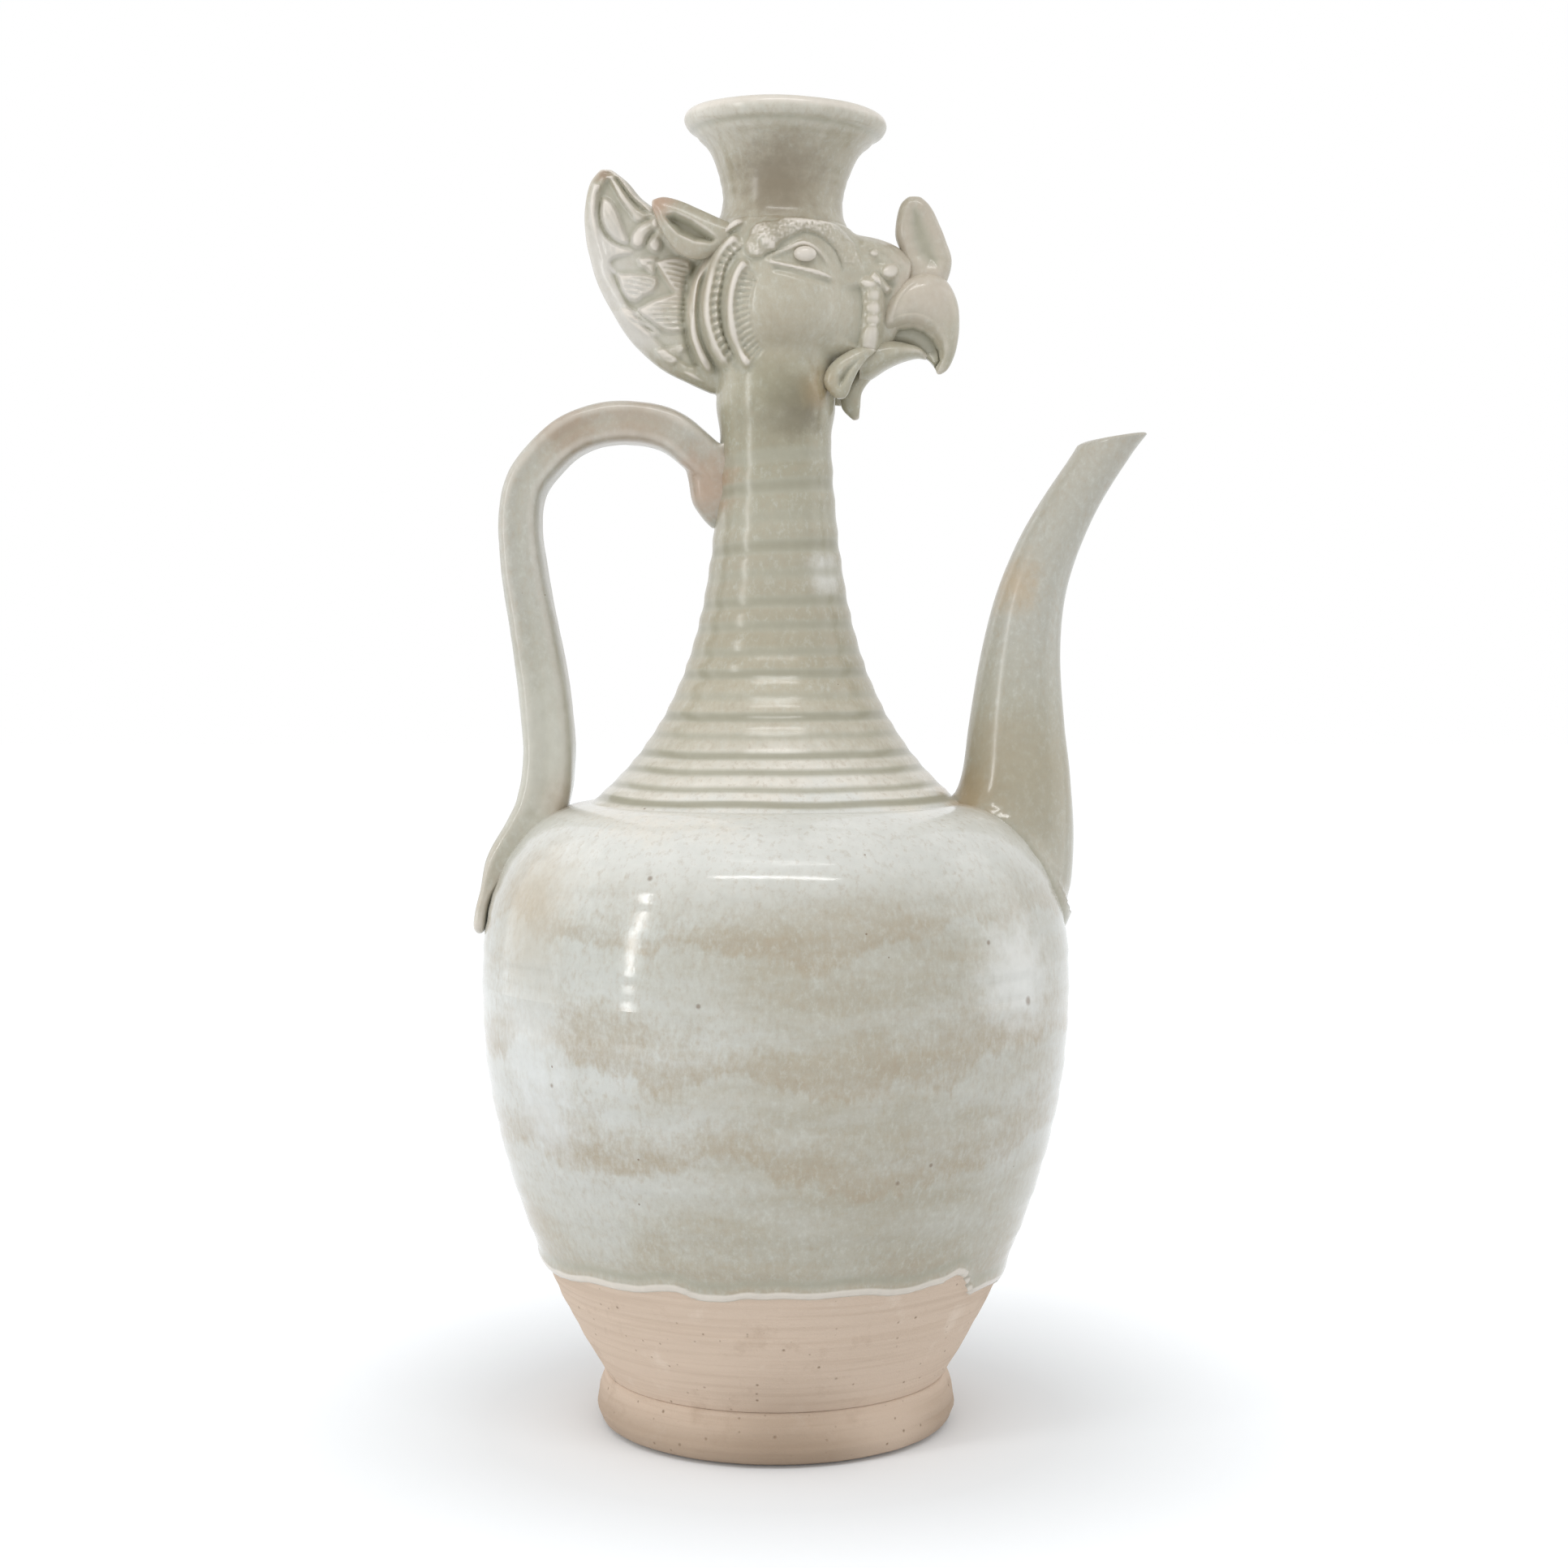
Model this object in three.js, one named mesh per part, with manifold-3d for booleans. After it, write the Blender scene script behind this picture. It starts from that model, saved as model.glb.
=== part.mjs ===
// Phoenix-head ewer in glazed stoneware, built from the pieces that the potter luted together.
// Millimetres, +Z up. The vessel's axis is Z, the spout and the beak point along +X, the handle
// is on the -X side, and the foot rests on z = 0.
import * as THREE from 'three';
import { mergeVertices } from 'three/addons/utils/BufferGeometryUtils.js';
import Module from 'manifold-3d';

const wasm = await Module();
wasm.setup();

// Gap between two luted pieces
const seam = 0.3;

// Foot
const footHeight = 15.5;
const footRadius = 52.4;
const footRestRadius = 47.2;
const footWidestHeight = 5;
const waistRadius = 49.7;
const recessRadius = 38;
const recessDepth = 2;

// Body, thrown in two halves that meet at the belly
const bellyRadius = 85.2;
const bellyHeight = 130;
const shoulderHeight = 181;
const shoulderRadius = 53.8;
const shoulderFullness = 2.3;
const bodyWall = 5;
const floorThickness = 7;

// Neck, a cone that slims upwards by a steady rate and carries throwing ribs
const neckTopHeight = 296;
const neckSlimRadius = 14.6;
const neckSlimming = 32;
const neckWall = 5;
const collarRadius = 17.2;
const collarHeight = 10;
const ribCount = 16;
const ribLowAboveShoulder = 1.9;
const ribHighBelowTop = 15.8;
const ribDepth = 1.1;
const ribEvenness = 0.587;

// Head and mouth cup, which lean together towards the spout. Heights are above the neck's top.
const headLean = 2;
const globeRadius = 22.6;
const globeHeight = 29;
const globeCrown = 24;
const globeWall = 6;
const throatRadius = 17.3;
const throatBore = 11;
const cupJoint = 51;
const cupRise = 11;
const lipBand = 20;
const mouthRadius = 29.1;
const mouthHeight = 82.6;
const lipWall = 4;

// Spout
const spoutReach = 70;
const spoutTipReach = 97;
const spoutTipHeight = 286.5;
const spoutTipRadius = 7;
const spoutRootRadius = 19.5;
const spoutSwelling = 1.5;
const spoutWall = 3.2;
const spoutHoleRadius = 9;
const spoutCutAngle = 9.4;

// Handle
const handleReach = 74;
const archBelowNeckTop = 5.3;
const handleArchHeight = neckTopHeight - archBelowNeckTop;
const strapWidth = 20;
const strapThickness = 12;
const strapSquareness = 4;
const tailThickness = 4;

// Fineness of the facets
const turnSteps = 26;
const neckSteps = 22;
const headSteps = 20;
const spoutSides = 14;
const strapSides = 12;

const glaze = { color: 0xc6c8c2, roughness: 0.22, metalness: 0 };
const clay = { color: 0xcab6a4, roughness: 0.85, metalness: 0 };

const { degToRad } = THREE.MathUtils;
const ewer = new THREE.Group();
ewer.name = 'phoenix_head_ewer';
const headGroup = new THREE.Group();
headGroup.position.z = neckTopHeight;
headGroup.rotation.y = degToRad(headLean);
ewer.add(headGroup);

// From three.js geometry to a solid and back

function bareMesh(geometry) {
  const bare = geometry.clone();
  bare.deleteAttribute('normal');
  bare.deleteAttribute('uv');
  return mergeVertices(bare, 1e-4);
}

function toSolid(geometry) {
  const bare = bareMesh(geometry);
  const corners = new Uint32Array(bare.index.array);
  const vertProperties = new Float32Array(bare.attributes.position.array);
  const solid = new wasm.Manifold(new wasm.Mesh({ numProp: 3, vertProperties, triVerts: corners }));
  if (solid.volume() > 0) return solid;
  const turnedOut = corners.map((_, i) => corners[i + [0, 1, -1][i % 3]]);
  return new wasm.Manifold(new wasm.Mesh({ numProp: 3, vertProperties, triVerts: turnedOut }));
}

function toGeometry(solid) {
  const mesh = solid.getMesh();
  const geometry = new THREE.BufferGeometry();
  geometry.setAttribute('position', new THREE.BufferAttribute(mesh.vertProperties, 3));
  geometry.setIndex(new THREE.BufferAttribute(mesh.triVerts, 1));
  geometry.computeVertexNormals();
  return geometry;
}

function addPiece(group, name, solid, finish = glaze) {
  const mesh = new THREE.Mesh(toGeometry(solid), new THREE.MeshStandardMaterial(finish));
  mesh.name = name;
  group.add(mesh);
}

function addPair(name, solid) {
  addPiece(headGroup, `${name}_left`, solid);
  addPiece(headGroup, `${name}_right`, solid.mirror([0, 1, 0]));
}

function bothSides(solid) {
  return solid.add(solid.mirror([0, 1, 0]));
}

// Shapes

function spaced(low, high, count) {
  return Array.from({ length: count + 1 }, (_, i) => low + ((high - low) * i) / count);
}

// A turned solid from its closed half outline, as [radius, height] pairs
function turned(outline, steps = turnSteps) {
  const points = [...outline, outline[0]].map(([r, z]) => new THREE.Vector2(r, z));
  return toSolid(new THREE.LatheGeometry(points, steps).rotateX(Math.PI / 2));
}

// A solid through rings of points. The rings are convex and have the same count.
function loft(rings) {
  const sides = rings[0].length;
  const faces = [];
  for (let ring = 0; ring + 1 < rings.length; ring += 1) {
    for (let side = 0; side < sides; side += 1) {
      const a = ring * sides + side;
      const b = ring * sides + ((side + 1) % sides);
      faces.push(a, b, b + sides, a, b + sides, a + sides);
    }
  }
  const last = (rings.length - 1) * sides;
  for (let side = 1; side + 1 < sides; side += 1) {
    faces.push(0, side + 1, side, last, last + side, last + side + 1);
  }
  const geometry = new THREE.BufferGeometry();
  const positions = rings.flat().flatMap((point) => point.toArray());
  geometry.setAttribute('position', new THREE.Float32BufferAttribute(positions, 3));
  geometry.setIndex(faces);
  return toSolid(geometry);
}

// Points round an ellipse, or a rounded rectangle where squareness is over 2
function section(halfWide, halfHigh, sides, squareness = 2) {
  const power = 2 / squareness;
  return Array.from({ length: sides }, (_, i) => {
    const angle = (2 * Math.PI * i) / sides;
    const [c, s] = [Math.cos(angle), Math.sin(angle)];
    return [
      halfWide * Math.sign(c) * Math.abs(c) ** power,
      halfHigh * Math.sign(s) * Math.abs(s) ** power,
    ];
  });
}

// A tube along a path. size(t, point) gives its half size towards the side direction and across it.
function tube(path, steps, sides, size, squareness = 2, sideOf = () => new THREE.Vector3(0, 1, 0)) {
  const rings = spaced(0, 1, steps).map((t) => {
    const centre = path.getPoint(t);
    const tangent = path.getTangent(t);
    const across = new THREE.Vector3().crossVectors(tangent, sideOf(centre)).normalize();
    const side = new THREE.Vector3().crossVectors(across, tangent).normalize();
    const [halfSide, halfAcross] = size(t, centre);
    return section(halfSide, halfAcross, sides, squareness).map(([a, b]) => centre.clone()
      .addScaledVector(side, a).addScaledVector(across, b));
  });
  return loft(rings);
}

function sideCurve(points) {
  return new THREE.CatmullRomCurve3(points.map(([x, z]) => new THREE.Vector3(x, 0, z)));
}

// Chords of a form seen from the side: [x1, z1, x2, z2, half thickness, y of the middle].
// between() fills in chords along smooth curves through the given ones.
function between(chords, count) {
  const first = new THREE.CatmullRomCurve3(chords.map(([x, z, , , half]) => new THREE.Vector3(x, z, half)));
  const second = new THREE.CatmullRomCurve3(
    chords.map(([, , x, z, , y = 0]) => new THREE.Vector3(x, z, y)),
  );
  return spaced(0, 1, count).map((t) => {
    const [a, b] = [first.getPoint(t), second.getPoint(t)];
    return [a.x, a.y, b.x, b.y, a.z, b.z];
  });
}

// A solid whose sections are ellipses standing on the chords, grown outwards if asked
function bladed(chords, { grow = 0, sides = 12, squareness = 2 } = {}) {
  return loft(chords.map(([x1, z1, x2, z2, half, y = 0]) => {
    const middle = new THREE.Vector3((x1 + x2) / 2, y, (z1 + z2) / 2);
    const along = new THREE.Vector3((x2 - x1) / 2, 0, (z2 - z1) / 2);
    const reach = along.length() + grow;
    along.normalize();
    return section(reach, half + grow, sides, squareness).map(([a, b]) => middle.clone()
      .addScaledVector(along, a).add(new THREE.Vector3(0, b, 0)));
  }));
}

// Vessel outlines

function lowerRadius(z) {
  const t = (z - footHeight) / (bellyHeight - footHeight);
  return bellyRadius - (bellyRadius - waistRadius) * (1 - t) ** 2;
}

function upperRadius(z) {
  const s = Math.min(1, (z - bellyHeight) / (shoulderHeight - bellyHeight));
  return shoulderRadius + (bellyRadius - shoulderRadius) * Math.sqrt(1 - s ** shoulderFullness);
}

function neckRadius(z) {
  const fade = Math.exp((shoulderHeight - z) / neckSlimming);
  const slim = neckSlimRadius + (shoulderRadius - neckSlimRadius) * fade;
  const flare = Math.max(0, (z - neckTopHeight + collarHeight) / collarHeight);
  const slimTop = neckSlimRadius + (shoulderRadius - neckSlimRadius)
    * Math.exp((shoulderHeight - neckTopHeight) / neckSlimming);
  return slim + (collarRadius - slimTop) * flare ** 2;
}

// Heights up the shoulder, closer together where it turns over
function shoulderHeights(count) {
  return spaced(0, Math.PI / 2, count)
    .map((angle) => bellyHeight + (shoulderHeight - bellyHeight) * Math.sin(angle));
}

// Heights of the grooves between the neck's ribs, closer together at the bottom
function grooveHeights() {
  const low = shoulderHeight + ribLowAboveShoulder;
  const high = neckTopHeight - ribHighBelowTop;
  return spaced(0, 1, ribCount - 1)
    .map((t) => low + (high - low) * (ribEvenness * t + (1 - ribEvenness) * t * t));
}

function ribbedNeck() {
  const grooves = grooveHeights();
  const ribs = grooves.flatMap((z, i) => {
    const crest = (z + (grooves[i + 1] ?? z)) / 2;
    const groove = [neckRadius(z) - ribDepth / 2, z];
    return crest > z ? [groove, [neckRadius(crest) + ribDepth / 2, crest]] : [groove];
  });
  const plain = spaced(grooves.at(-1) + collarHeight / 3, neckTopHeight + 2, 4)
    .map((z) => [neckRadius(z), z]);
  return [[neckRadius(shoulderHeight), shoulderHeight], ...ribs, ...plain];
}

// Vessel pieces

// A solid foot, splayed a little and cut slightly hollow beneath
function makeFoot() {
  const splay = footRadius - footRestRadius;
  return turned([
    [0, recessDepth],
    [recessRadius, recessDepth],
    [recessRadius + recessDepth, 0],
    [footRestRadius, 0],
    [footRestRadius + splay * 0.7, footWidestHeight * 0.3],
    [footRadius, footWidestHeight],
    [(footRadius * 2 + waistRadius) / 3, footHeight * 0.7],
    [waistRadius, footHeight],
    [0, footHeight],
  ]);
}

function makeLowerBody() {
  const inside = footHeight + floorThickness;
  const outer = spaced(footHeight, bellyHeight, 8).map((z) => [lowerRadius(z), z]);
  const inner = spaced(inside, bellyHeight, 4).reverse().map((z) => [lowerRadius(z) - bodyWall, z]);
  return turned([[0, footHeight], ...outer, ...inner, [0, inside]]);
}

function makeUpperBody() {
  const heights = shoulderHeights(8);
  const neckHole = shoulderRadius - bodyWall;
  const outer = heights.map((z) => [upperRadius(z), z]);
  const inner = heights.filter((z) => z < shoulderHeight - bodyWall)
    .map((z) => [upperRadius(z) - bodyWall, z]).reverse();
  return turned([
    ...outer,
    [neckHole, shoulderHeight],
    [neckHole + bodyWall, shoulderHeight - bodyWall],
    ...inner,
  ]).subtract(spoutHole());
}

// Everything above the leaning plane that the head stands on
function aboveNeck() {
  const size = 4 * mouthRadius + 4 * collarRadius;
  const block = new THREE.BoxGeometry(size, size, size).translate(0, 0, size / 2);
  return toSolid(block.rotateY(degToRad(headLean)).translate(0, 0, neckTopHeight));
}

function makeNeck() {
  const inner = spaced(shoulderHeight, neckTopHeight + 2, 5).reverse()
    .map((z) => [neckRadius(z) - neckWall, z]);
  return turned([...ribbedNeck(), ...inner], neckSteps).subtract(aboveNeck());
}

// The vessel's outside, a seam larger, that the handle and the spout are cut to
function vesselEnvelope() {
  const lower = spaced(footHeight, bellyHeight, 10).map((z) => [lowerRadius(z) + seam, z]);
  const upper = shoulderHeights(9).slice(1).map((z) => [upperRadius(z) + seam, z + seam]);
  const neck = spaced(shoulderHeight, neckTopHeight + 2, 10).slice(1)
    .map((z) => [neckRadius(z) + ribDepth / 2 + seam, z]);
  return turned([[0, footHeight], ...lower, ...upper, ...neck, [0, neckTopHeight + 2]]);
}

// Spout, a hollow tube that rises from the shoulder and bends outwards

function spoutPath() {
  const lean = spoutTipReach - spoutReach;
  const rise = spoutTipHeight - shoulderHeight;
  return sideCurve([
    [spoutReach - lean * 0.29, shoulderHeight - rise * 0.31],
    [spoutReach - lean * 0.15, shoulderHeight - rise * 0.22],
    [spoutReach - lean * 0.05, shoulderHeight - rise * 0.1],
    [spoutReach, shoulderHeight + rise * 0.06],
    [spoutReach, shoulderHeight + rise * 0.2],
    [spoutReach + lean * 0.05, shoulderHeight + rise * 0.42],
    [spoutReach + lean * 0.19, shoulderHeight + rise * 0.6],
    [spoutReach + lean * 0.48, shoulderHeight + rise * 0.78],
    [spoutTipReach - lean * 0.09, shoulderHeight + rise * 0.957],
    [spoutTipReach + lean * 0.15, shoulderHeight + rise * 1.04],
  ]);
}

function spoutRadius(z) {
  const low = shoulderHeight - (spoutTipHeight - shoulderHeight) * 0.18;
  const t = THREE.MathUtils.clamp((spoutTipHeight - z) / (spoutTipHeight - low), 0, 1);
  return spoutTipRadius + (spoutRootRadius - spoutTipRadius) * t ** spoutSwelling;
}

function spoutForm(inset) {
  return tube(spoutPath(), 13, spoutSides, (t, centre) => {
    const radius = spoutRadius(centre.z) - inset;
    return [radius, radius];
  });
}

function makeSpout(envelope) {
  const size = 8 * spoutTipRadius;
  const cut = new THREE.BoxGeometry(size, size, size).translate(0, 0, size / 2)
    .rotateY(degToRad(-spoutCutAngle)).translate(spoutTipReach, 0, spoutTipHeight);
  return spoutForm(0).subtract(spoutForm(spoutWall)).subtract(toSolid(cut)).subtract(envelope);
}

// The hole pierced through the shoulder beneath the spout
function spoutHole() {
  const depth = shoulderHeight - bellyHeight;
  const drill = new THREE.CylinderGeometry(spoutHoleRadius, spoutHoleRadius, depth, spoutSides)
    .rotateX(Math.PI / 2).translate(spoutReach, 0, shoulderHeight);
  return toSolid(drill);
}

// Handle, a strap sprung from the neck, arched over and pressed flat down the shoulder

function handlePath() {
  const low = shoulderHeight;
  const rise = handleArchHeight - low;
  const tail = (z) => -(upperRadius(z) + seam + tailThickness / 2 - 0.5);
  const tailTop = bellyHeight + (low - bellyHeight) * 0.62;
  const tailEnd = bellyHeight + (low - bellyHeight) * 0.25;
  return sideCurve([
    [-collarRadius * 0.8, low + rise * 0.83],
    [-collarRadius * 1.25, low + rise * 0.915],
    [-handleReach * 0.42, low + rise * 0.98],
    [-handleReach * 0.61, handleArchHeight],
    [-handleReach * 0.785, low + rise * 0.97],
    [-handleReach * 0.9, low + rise * 0.907],
    [-handleReach * 0.977, low + rise * 0.832],
    [-handleReach, low + rise * 0.747],
    [-handleReach * 0.985, low + rise * 0.62],
    [-handleReach * 0.943, low + rise * 0.447],
    [-handleReach * 0.904, low + rise * 0.273],
    [-handleReach * 0.891, low + rise * 0.1],
    [-handleReach * 0.925, low - rise * 0.015],
    [tail(tailTop) + tailThickness * 0.1, tailTop],
    [tail((tailTop + tailEnd) / 2), (tailTop + tailEnd) / 2],
    [tail(tailEnd), tailEnd],
  ]);
}

// The root thins into a tongue that lies down the neck
function handleTongue() {
  const out = -collarRadius;
  const top = shoulderHeight + (handleArchHeight - shoulderHeight) * 0.91;
  const half = strapWidth / 2;
  return bladed(between([
    [out - 9.5, top, out + 6, top + 5, half],
    [out - 8, top - 7, out + 6, top - 5, half * 0.92],
    [out - 7, top - 13, out + 6, top - 13, half * 0.78],
    [out - 4.2, top - 17.5, out + 6, top - 18, half * 0.5],
    [out - 1.4, top - 20.5, out + 6, top - 21, half * 0.2],
  ], 6), { squareness: 2.6 });
}

function makeHandle(envelope) {
  const half = strapThickness / 2;
  const strap = tube(handlePath(), 25, strapSides, (t, centre) => {
    const lower = THREE.MathUtils.smoothstep(handleArchHeight - centre.z, 20, 90);
    const pressed = THREE.MathUtils.smoothstep(t, 0.78, 0.93);
    const thick = (half + lower * 1.4) * (1 - pressed) + (tailThickness / 2) * pressed;
    return [(strapWidth / 2) * (1 - 0.15 * pressed), thick];
  }, strapSquareness);
  return strap.add(handleTongue()).subtract(envelope);
}

// Head. From here on every place is in the leaning group, measured from the neck's top.

// The globe is a ball below its middle and squarer above, where the throat stands on it
function headRadius(z) {
  const up = z - globeHeight;
  if (up > 0) {
    const s = Math.min(1, up / globeCrown);
    return throatRadius + (globeRadius - throatRadius) * Math.sqrt(1 - s ** 2.5);
  }
  const ball = Math.sqrt(Math.max(0, globeRadius ** 2 - up ** 2));
  return Math.max(ball, collarRadius);
}

// The back of the head swells under the ruffs and the crest
const hood = { x: -8, z: 28, length: 18.5, width: 17, height: 23 };

// Face and jaw from the globe to the beak, as upright chords
const faceChords = [
  [6, 47, 6, 12, 18],
  [14, 49.3, 14, 11.5, 16.2],
  [22, 49, 22, 11.8, 13.2],
  [28, 47.8, 28, 12.2, 10.2],
  [33, 44, 31.6, 15.6, 7.8],
  [37, 38, 34.5, 21, 5.8],
];
const faceSquareness = 2.4;

function headForm(grow) {
  const outline = spaced(seam, cupJoint, 10).map((z) => [headRadius(z) + grow, z]);
  const back = new THREE.SphereGeometry(1, 16, 10).rotateX(Math.PI / 2)
    .scale(hood.length + grow, hood.width + grow, hood.height + grow)
    .translate(hood.x, 0, hood.z);
  const face = bladed(between(faceChords, 6), { grow, sides: 14, squareness: faceSquareness });
  return turned([[0, seam], ...outline, [0, cupJoint]], headSteps).add(toSolid(back)).add(face);
}

function makeHead() {
  const bore = spaced(0, cupJoint + 1, 8)
    .map((z) => [Math.max(headRadius(z) - globeWall, throatBore), z]);
  return headForm(0).subtract(turned([[0, 0], ...bore, [0, cupJoint + 1]], headSteps));
}

// The head, the collar below it and the throat above, a seam larger
function headEnvelope() {
  const neckRoom = collarRadius + seam;
  const collar = [[0, -collarHeight], [neckRoom, -collarHeight], [neckRoom, seam], [0, seam]];
  const cupFoot = [throatRadius + 1, cupJoint + cupRise / 2];
  const throat = [[0, cupJoint], [throatRadius + 2, cupJoint], cupFoot, [0, cupFoot[1]]];
  return headForm(seam).add(turned(collar, headSteps)).add(turned(throat, headSteps));
}

function makeCup() {
  const base = cupJoint + seam;
  const band = base + lipBand;
  return turned([
    [throatRadius + 0.6, base],
    [throatRadius, base + cupRise * 0.6],
    [throatRadius + 0.6, base + cupRise],
    [throatRadius + 3.4, band - 1],
    [throatRadius + 4.6, band + 1],
    [mouthRadius - 4.2, mouthHeight - 7.4],
    [mouthRadius - 1.2, mouthHeight - 5],
    [mouthRadius, mouthHeight - 2.6],
    [mouthRadius - 0.6, mouthHeight - 0.8],
    [mouthRadius - lipWall * 0.5, mouthHeight],
    [mouthRadius - lipWall, mouthHeight - 1],
    [mouthRadius - lipWall - 3, mouthHeight - 6],
    [throatRadius, band - 2],
    [throatBore + 1.5, base + cupRise],
    [throatBore + 1, base],
  ], headSteps);
}

// How far a point of the side view stands out on the near side of the head
function ovalDepth(reach, width, squareness) {
  return reach >= 1 ? 0 : width * (1 - reach ** squareness) ** (1 / squareness);
}

function headDepth(x, z) {
  const globe = Math.sqrt(Math.max(0, headRadius(z) ** 2 - x * x));
  const back = hood.width * Math.sqrt(Math.max(
    0,
    1 - ((x - hood.x) / hood.length) ** 2 - ((z - hood.z) / hood.height) ** 2,
  ));
  const place = faceChords.findIndex(([chordX]) => chordX > x);
  if (place < 1) return Math.max(globe, back);
  const [before, after] = [faceChords[place - 1], faceChords[place]];
  const mix = (x - before[0]) / (after[0] - before[0]);
  const [, top, , bottom, width] = before.map((value, i) => value + (after[i] - value) * mix);
  const reach = Math.abs(z - (top + bottom) / 2) / ((top - bottom) / 2);
  return Math.max(globe, back, ovalDepth(reach, width, faceSquareness));
}

// A rolled strip of clay laid on the near side along [x, z] places
function roll(places, wide, high, { grow = 0, depth = headDepth, steps = 9, swell = null } = {}) {
  const path = new THREE.CatmullRomCurve3(places.map(([x, z]) => new THREE.Vector3(x, -depth(x, z), z)));
  const outwards = (centre) => new THREE.Vector3(centre.x * 0.8, centre.y, (centre.z - globeHeight) * 0.6);
  const ends = (t) => 0.5 + 0.5 * Math.sqrt(Math.sin(Math.PI * THREE.MathUtils.clamp(t, 0.03, 0.97)));
  return tube(path, steps, 6, (t) => {
    const full = swell ? swell(t) : ends(t);
    return [high * full + grow, wide * full + grow];
  }, 2, outwards);
}

// Beak

const beakChords = [
  [32.6, 33.4, 31.2, 20.4, 8.4],
  [36.6, 37.2, 34.6, 22.2, 9.4],
  [41, 39.2, 38.6, 23, 9.2],
  [45.6, 38.8, 42, 22.2, 8.2],
  [49.2, 35.6, 44.6, 20.6, 6.8],
  [51.8, 29.4, 46.8, 17.6, 5],
  [52.2, 22.4, 47.2, 15.2, 3.6],
  [51.2, 16, 46.6, 13, 2.4],
  [49.2, 11.6, 46, 11.2, 1.3],
  [47.4, 10.2, 46.2, 10.2, 0.5],
];

const jawChords = [
  [27, 19.6, 26.5, 7.6, 8],
  [31.6, 19.6, 31.6, 11, 7.4],
  [36.4, 19, 36.6, 13.5, 6.2],
  [40.8, 17.8, 40.6, 14.6, 4.4],
  [43.3, 15.9, 43.1, 14.3, 1.4],
];

const combChords = [
  [35.5, 39, 47.4, 35, 4.4],
  [34.6, 44.5, 49.4, 42.6, 4.6],
  [32.8, 49.2, 47.4, 48.4, 4.5],
  [32.9, 54.4, 45, 54, 4.1],
  [34.2, 58.8, 42.4, 58.4, 3.2],
  [36, 60.8, 39.8, 60.8, 1.6],
];

const beardChords = [
  [26, 15, 32, 12.2, 3.6],
  [21.4, 8.4, 27.4, 8.2, 3.4],
  [18.6, 2.8, 24.8, 4.2, 2.8],
  [19.4, -0.8, 24.5, 0.2, 2.2],
  [22.6, -3.8, 24.3, -3.4, 0.8],
];

// The palate fills the beak's hollow side, and the jaw closes against it
const palateChords = [
  [34, 26, 34, 18.2, 4.6],
  [38, 27, 38, 17.2, 4.6],
  [42, 26, 41.6, 15.4, 3.6],
  [46.4, 23, 44.4, 13.4, 2.2],
  [48.4, 17.6, 45.6, 11.6, 1],
];

const beakForm = (grow) => bladed(between(beakChords, 11), { grow, sides: 12, squareness: 2.2 })
  .add(bladed(between(palateChords, 5), { grow, sides: 8 }));
const jawForm = (grow) => bladed(between(jawChords, 6), { grow });
const beardForm = (grow) => bladed(between(beardChords, 6), { grow, sides: 8 });

// The comb is scooped on both sides, like a folded leaf
function makeComb(head) {
  const scoop = bladed(between([
    [39.6, 43.6, 46.4, 42, 2, -5.6],
    [36.6, 49.4, 44.4, 48.6, 2.4, -5.2],
    [36.2, 55.8, 42, 55.4, 1.6, -4.6],
  ], 4), { sides: 8 });
  return bladed(between(combChords, 6), { sides: 10, squareness: 2.4 })
    .subtract(bothSides(scoop)).subtract(head).subtract(beakForm(seam));
}

// A folded leaf of skin on each side of the jaw
const wattleChords = [
  [22.8, 16.6, 27.4, 14, 2.4, -8.6],
  [18.6, 14, 24.2, 10.4, 2.8, -9.6],
  [15.2, 10.4, 21.8, 7, 2.8, -10.2],
  [13.3, 6.2, 19.4, 3.6, 2.6, -10.4],
  [15, 3, 17.6, 1.4, 1.4, -10.2],
];

const wattleForm = (grow) => bladed(between(wattleChords, 6), { grow, sides: 8 });

function makeWattle(head) {
  const fold = bladed(between([
    [22.6, 14, 24.6, 12.8, 0.8, -11],
    [19.4, 9.8, 21.8, 8.4, 1.3, -12.8],
    [16.6, 5.2, 18.6, 4.2, 1, -13],
  ], 4), { sides: 8 });
  return wattleForm(0).subtract(fold).subtract(head).subtract(jawForm(seam)).subtract(beardForm(seam));
}

// Crest, a thick leaf of layered feathers behind the head

const crestChords = [
  [-15, 0.6, -10, 8, 3.4],
  [-24.6, 4.8, -9, 17, 5.2],
  [-33.6, 9, -9, 27, 6.4],
  [-42, 16.2, -10, 37, 7],
  [-48.6, 25.4, -13, 44.4, 6.8],
  [-53.6, 35.6, -21, 50, 6],
  [-56.5, 46.4, -32, 52.6, 5],
  [-56.8, 55, -40, 57, 4.1],
  [-55.6, 61.6, -44.8, 62, 3],
  [-52.8, 65.4, -49.4, 65.4, 1.3],
];
const crestSquareness = 2.5;
const fineCrest = between(crestChords, 60);

function crestDepth(x, z) {
  const nearest = fineCrest.map(([x1, z1, x2, z2, half]) => {
    const [dx, dz] = [x2 - x1, z2 - z1];
    const t = ((x - x1) * dx + (z - z1) * dz) / (dx * dx + dz * dz);
    const away = Math.hypot(x - x1 - t * dx, z - z1 - t * dz);
    return { away, depth: ovalDepth(Math.abs(2 * t - 1), half, crestSquareness) };
  }).reduce((best, found) => (found.away < best.away ? found : best));
  return nearest.away < 1 ? nearest.depth : 0;
}

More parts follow.
